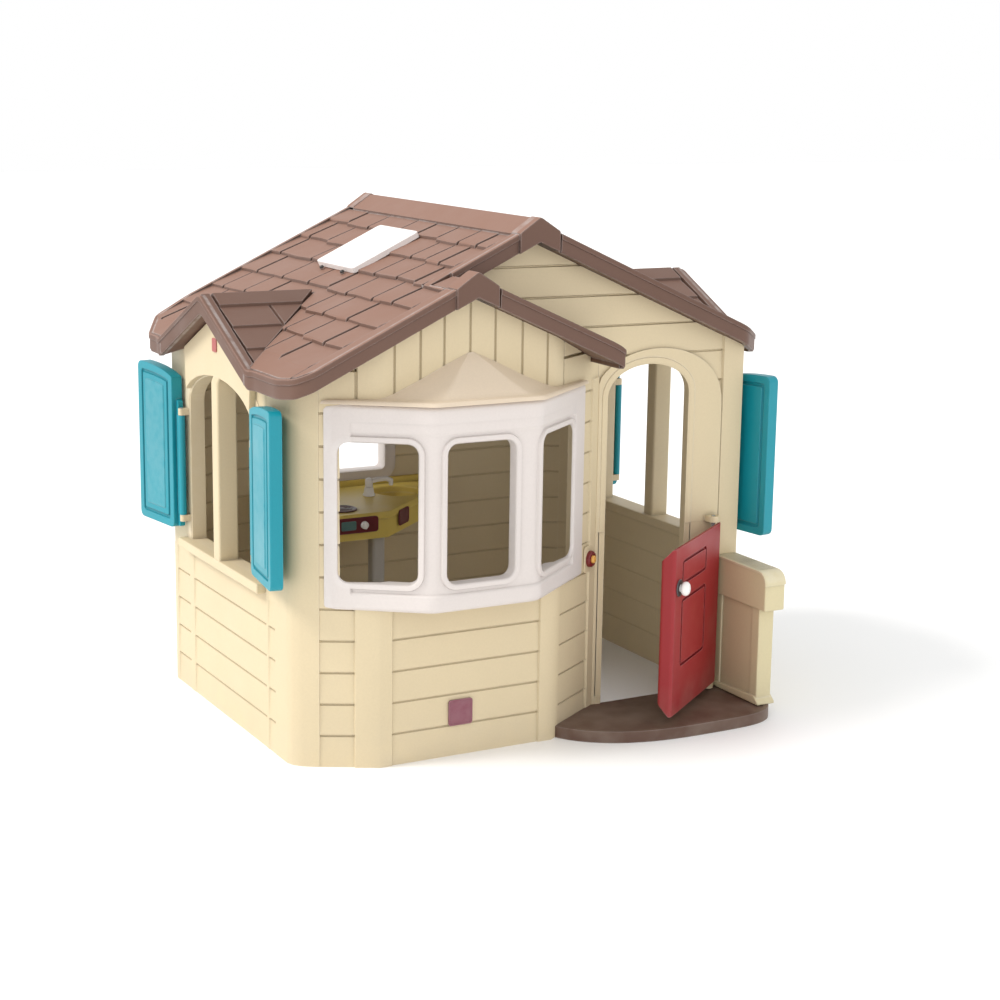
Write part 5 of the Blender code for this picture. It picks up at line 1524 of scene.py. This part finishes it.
def build_camera():
    """The camera at the photograph's viewing angle."""
    data = bpy.data.cameras.new("camera")
    data.sensor_width = SENSOR
    data.lens = SENSOR * FOCAL
    camera = bpy.data.objects.new("camera", data)
    bpy.context.scene.collection.objects.link(camera)
    yaw, pitch, roll = (math.radians(angle) for angle in CAMERA_TURN)
    ahead = Vector((math.sin(yaw) * math.cos(pitch), math.cos(yaw) * math.cos(pitch), math.sin(pitch)))
    level = Vector((math.cos(yaw), -math.sin(yaw), 0.0))
    upward = level.cross(ahead)
    right = level * math.cos(roll) + upward * math.sin(roll)
    up = upward * math.cos(roll) - level * math.sin(roll)
    spot = HOME @ Vector(CAMERA_SPOT)
    camera.matrix_world = facing(spot, right, up, -ahead)
    bpy.context.scene.camera = camera


def area_light(name, spot, target, size, power, colour=(1.0, 1.0, 1.0)):
    data = bpy.data.lights.new(name, "AREA")
    data.size = size
    data.energy = power
    data.color = colour
    light = bpy.data.objects.new(name, data)
    bpy.context.scene.collection.objects.link(light)
    light.location = spot
    light.rotation_euler = (Vector(target) - Vector(spot)).to_track_quat("-Z", "Y").to_euler()


def build_studio():
    """White surroundings, one soft sun from the left, a weak fill and a pale floor."""
    scene = bpy.context.scene
    scene.view_settings.view_transform = "Standard"
    scene.view_settings.look = "None"
    world = bpy.data.worlds.new("studio")
    world.use_nodes = True
    sky = world.node_tree.nodes["Background"]
    sky.inputs["Color"].default_value = (1.0, 1.0, 1.0, 1.0)
    sky.inputs["Strength"].default_value = 1.0
    scene.world = world

    sun = bpy.data.lights.new("key", "SUN")
    sun.energy = 2.0
    sun.angle = math.radians(20)
    sun.color = (1.0, 0.98, 0.95)
    key = bpy.data.objects.new("key", sun)
    scene.collection.objects.link(key)
    key.rotation_euler = Vector(SUN_WAY).to_track_quat("-Z", "Y").to_euler()
    area_light("front fill", (-1.0, -5.0, 3.0), (0.0, 0.0, 0.6), 4.0, 25.0)

    bm = bmesh.new()
    bmesh.ops.create_grid(bm, x_segments=8, y_segments=8, size=30.0)
    mesh = bpy.data.meshes.new("floor")
    bm.to_mesh(mesh)
    bm.free()
    floor = bpy.data.objects.new("floor", mesh)
    scene.collection.objects.link(floor)
    material = bpy.data.materials.new("studio floor")
    material.use_nodes = True
    tree = material.node_tree
    shader = tree.nodes["Principled BSDF"]
    coords = node(tree, "ShaderNodeTexCoord").outputs["Object"]
    tone = ramp(tree, noise(tree, coords, 0.7, 2.0), 0.3, 0.7)
    tree.links.new(blend(tree, tone, (0.93, 0.93, 0.93), (0.95, 0.95, 0.95)), shader.inputs["Base Color"])
    shader.inputs["Roughness"].default_value = 0.6
    mesh.materials.append(material)


build_camera()
build_studio()
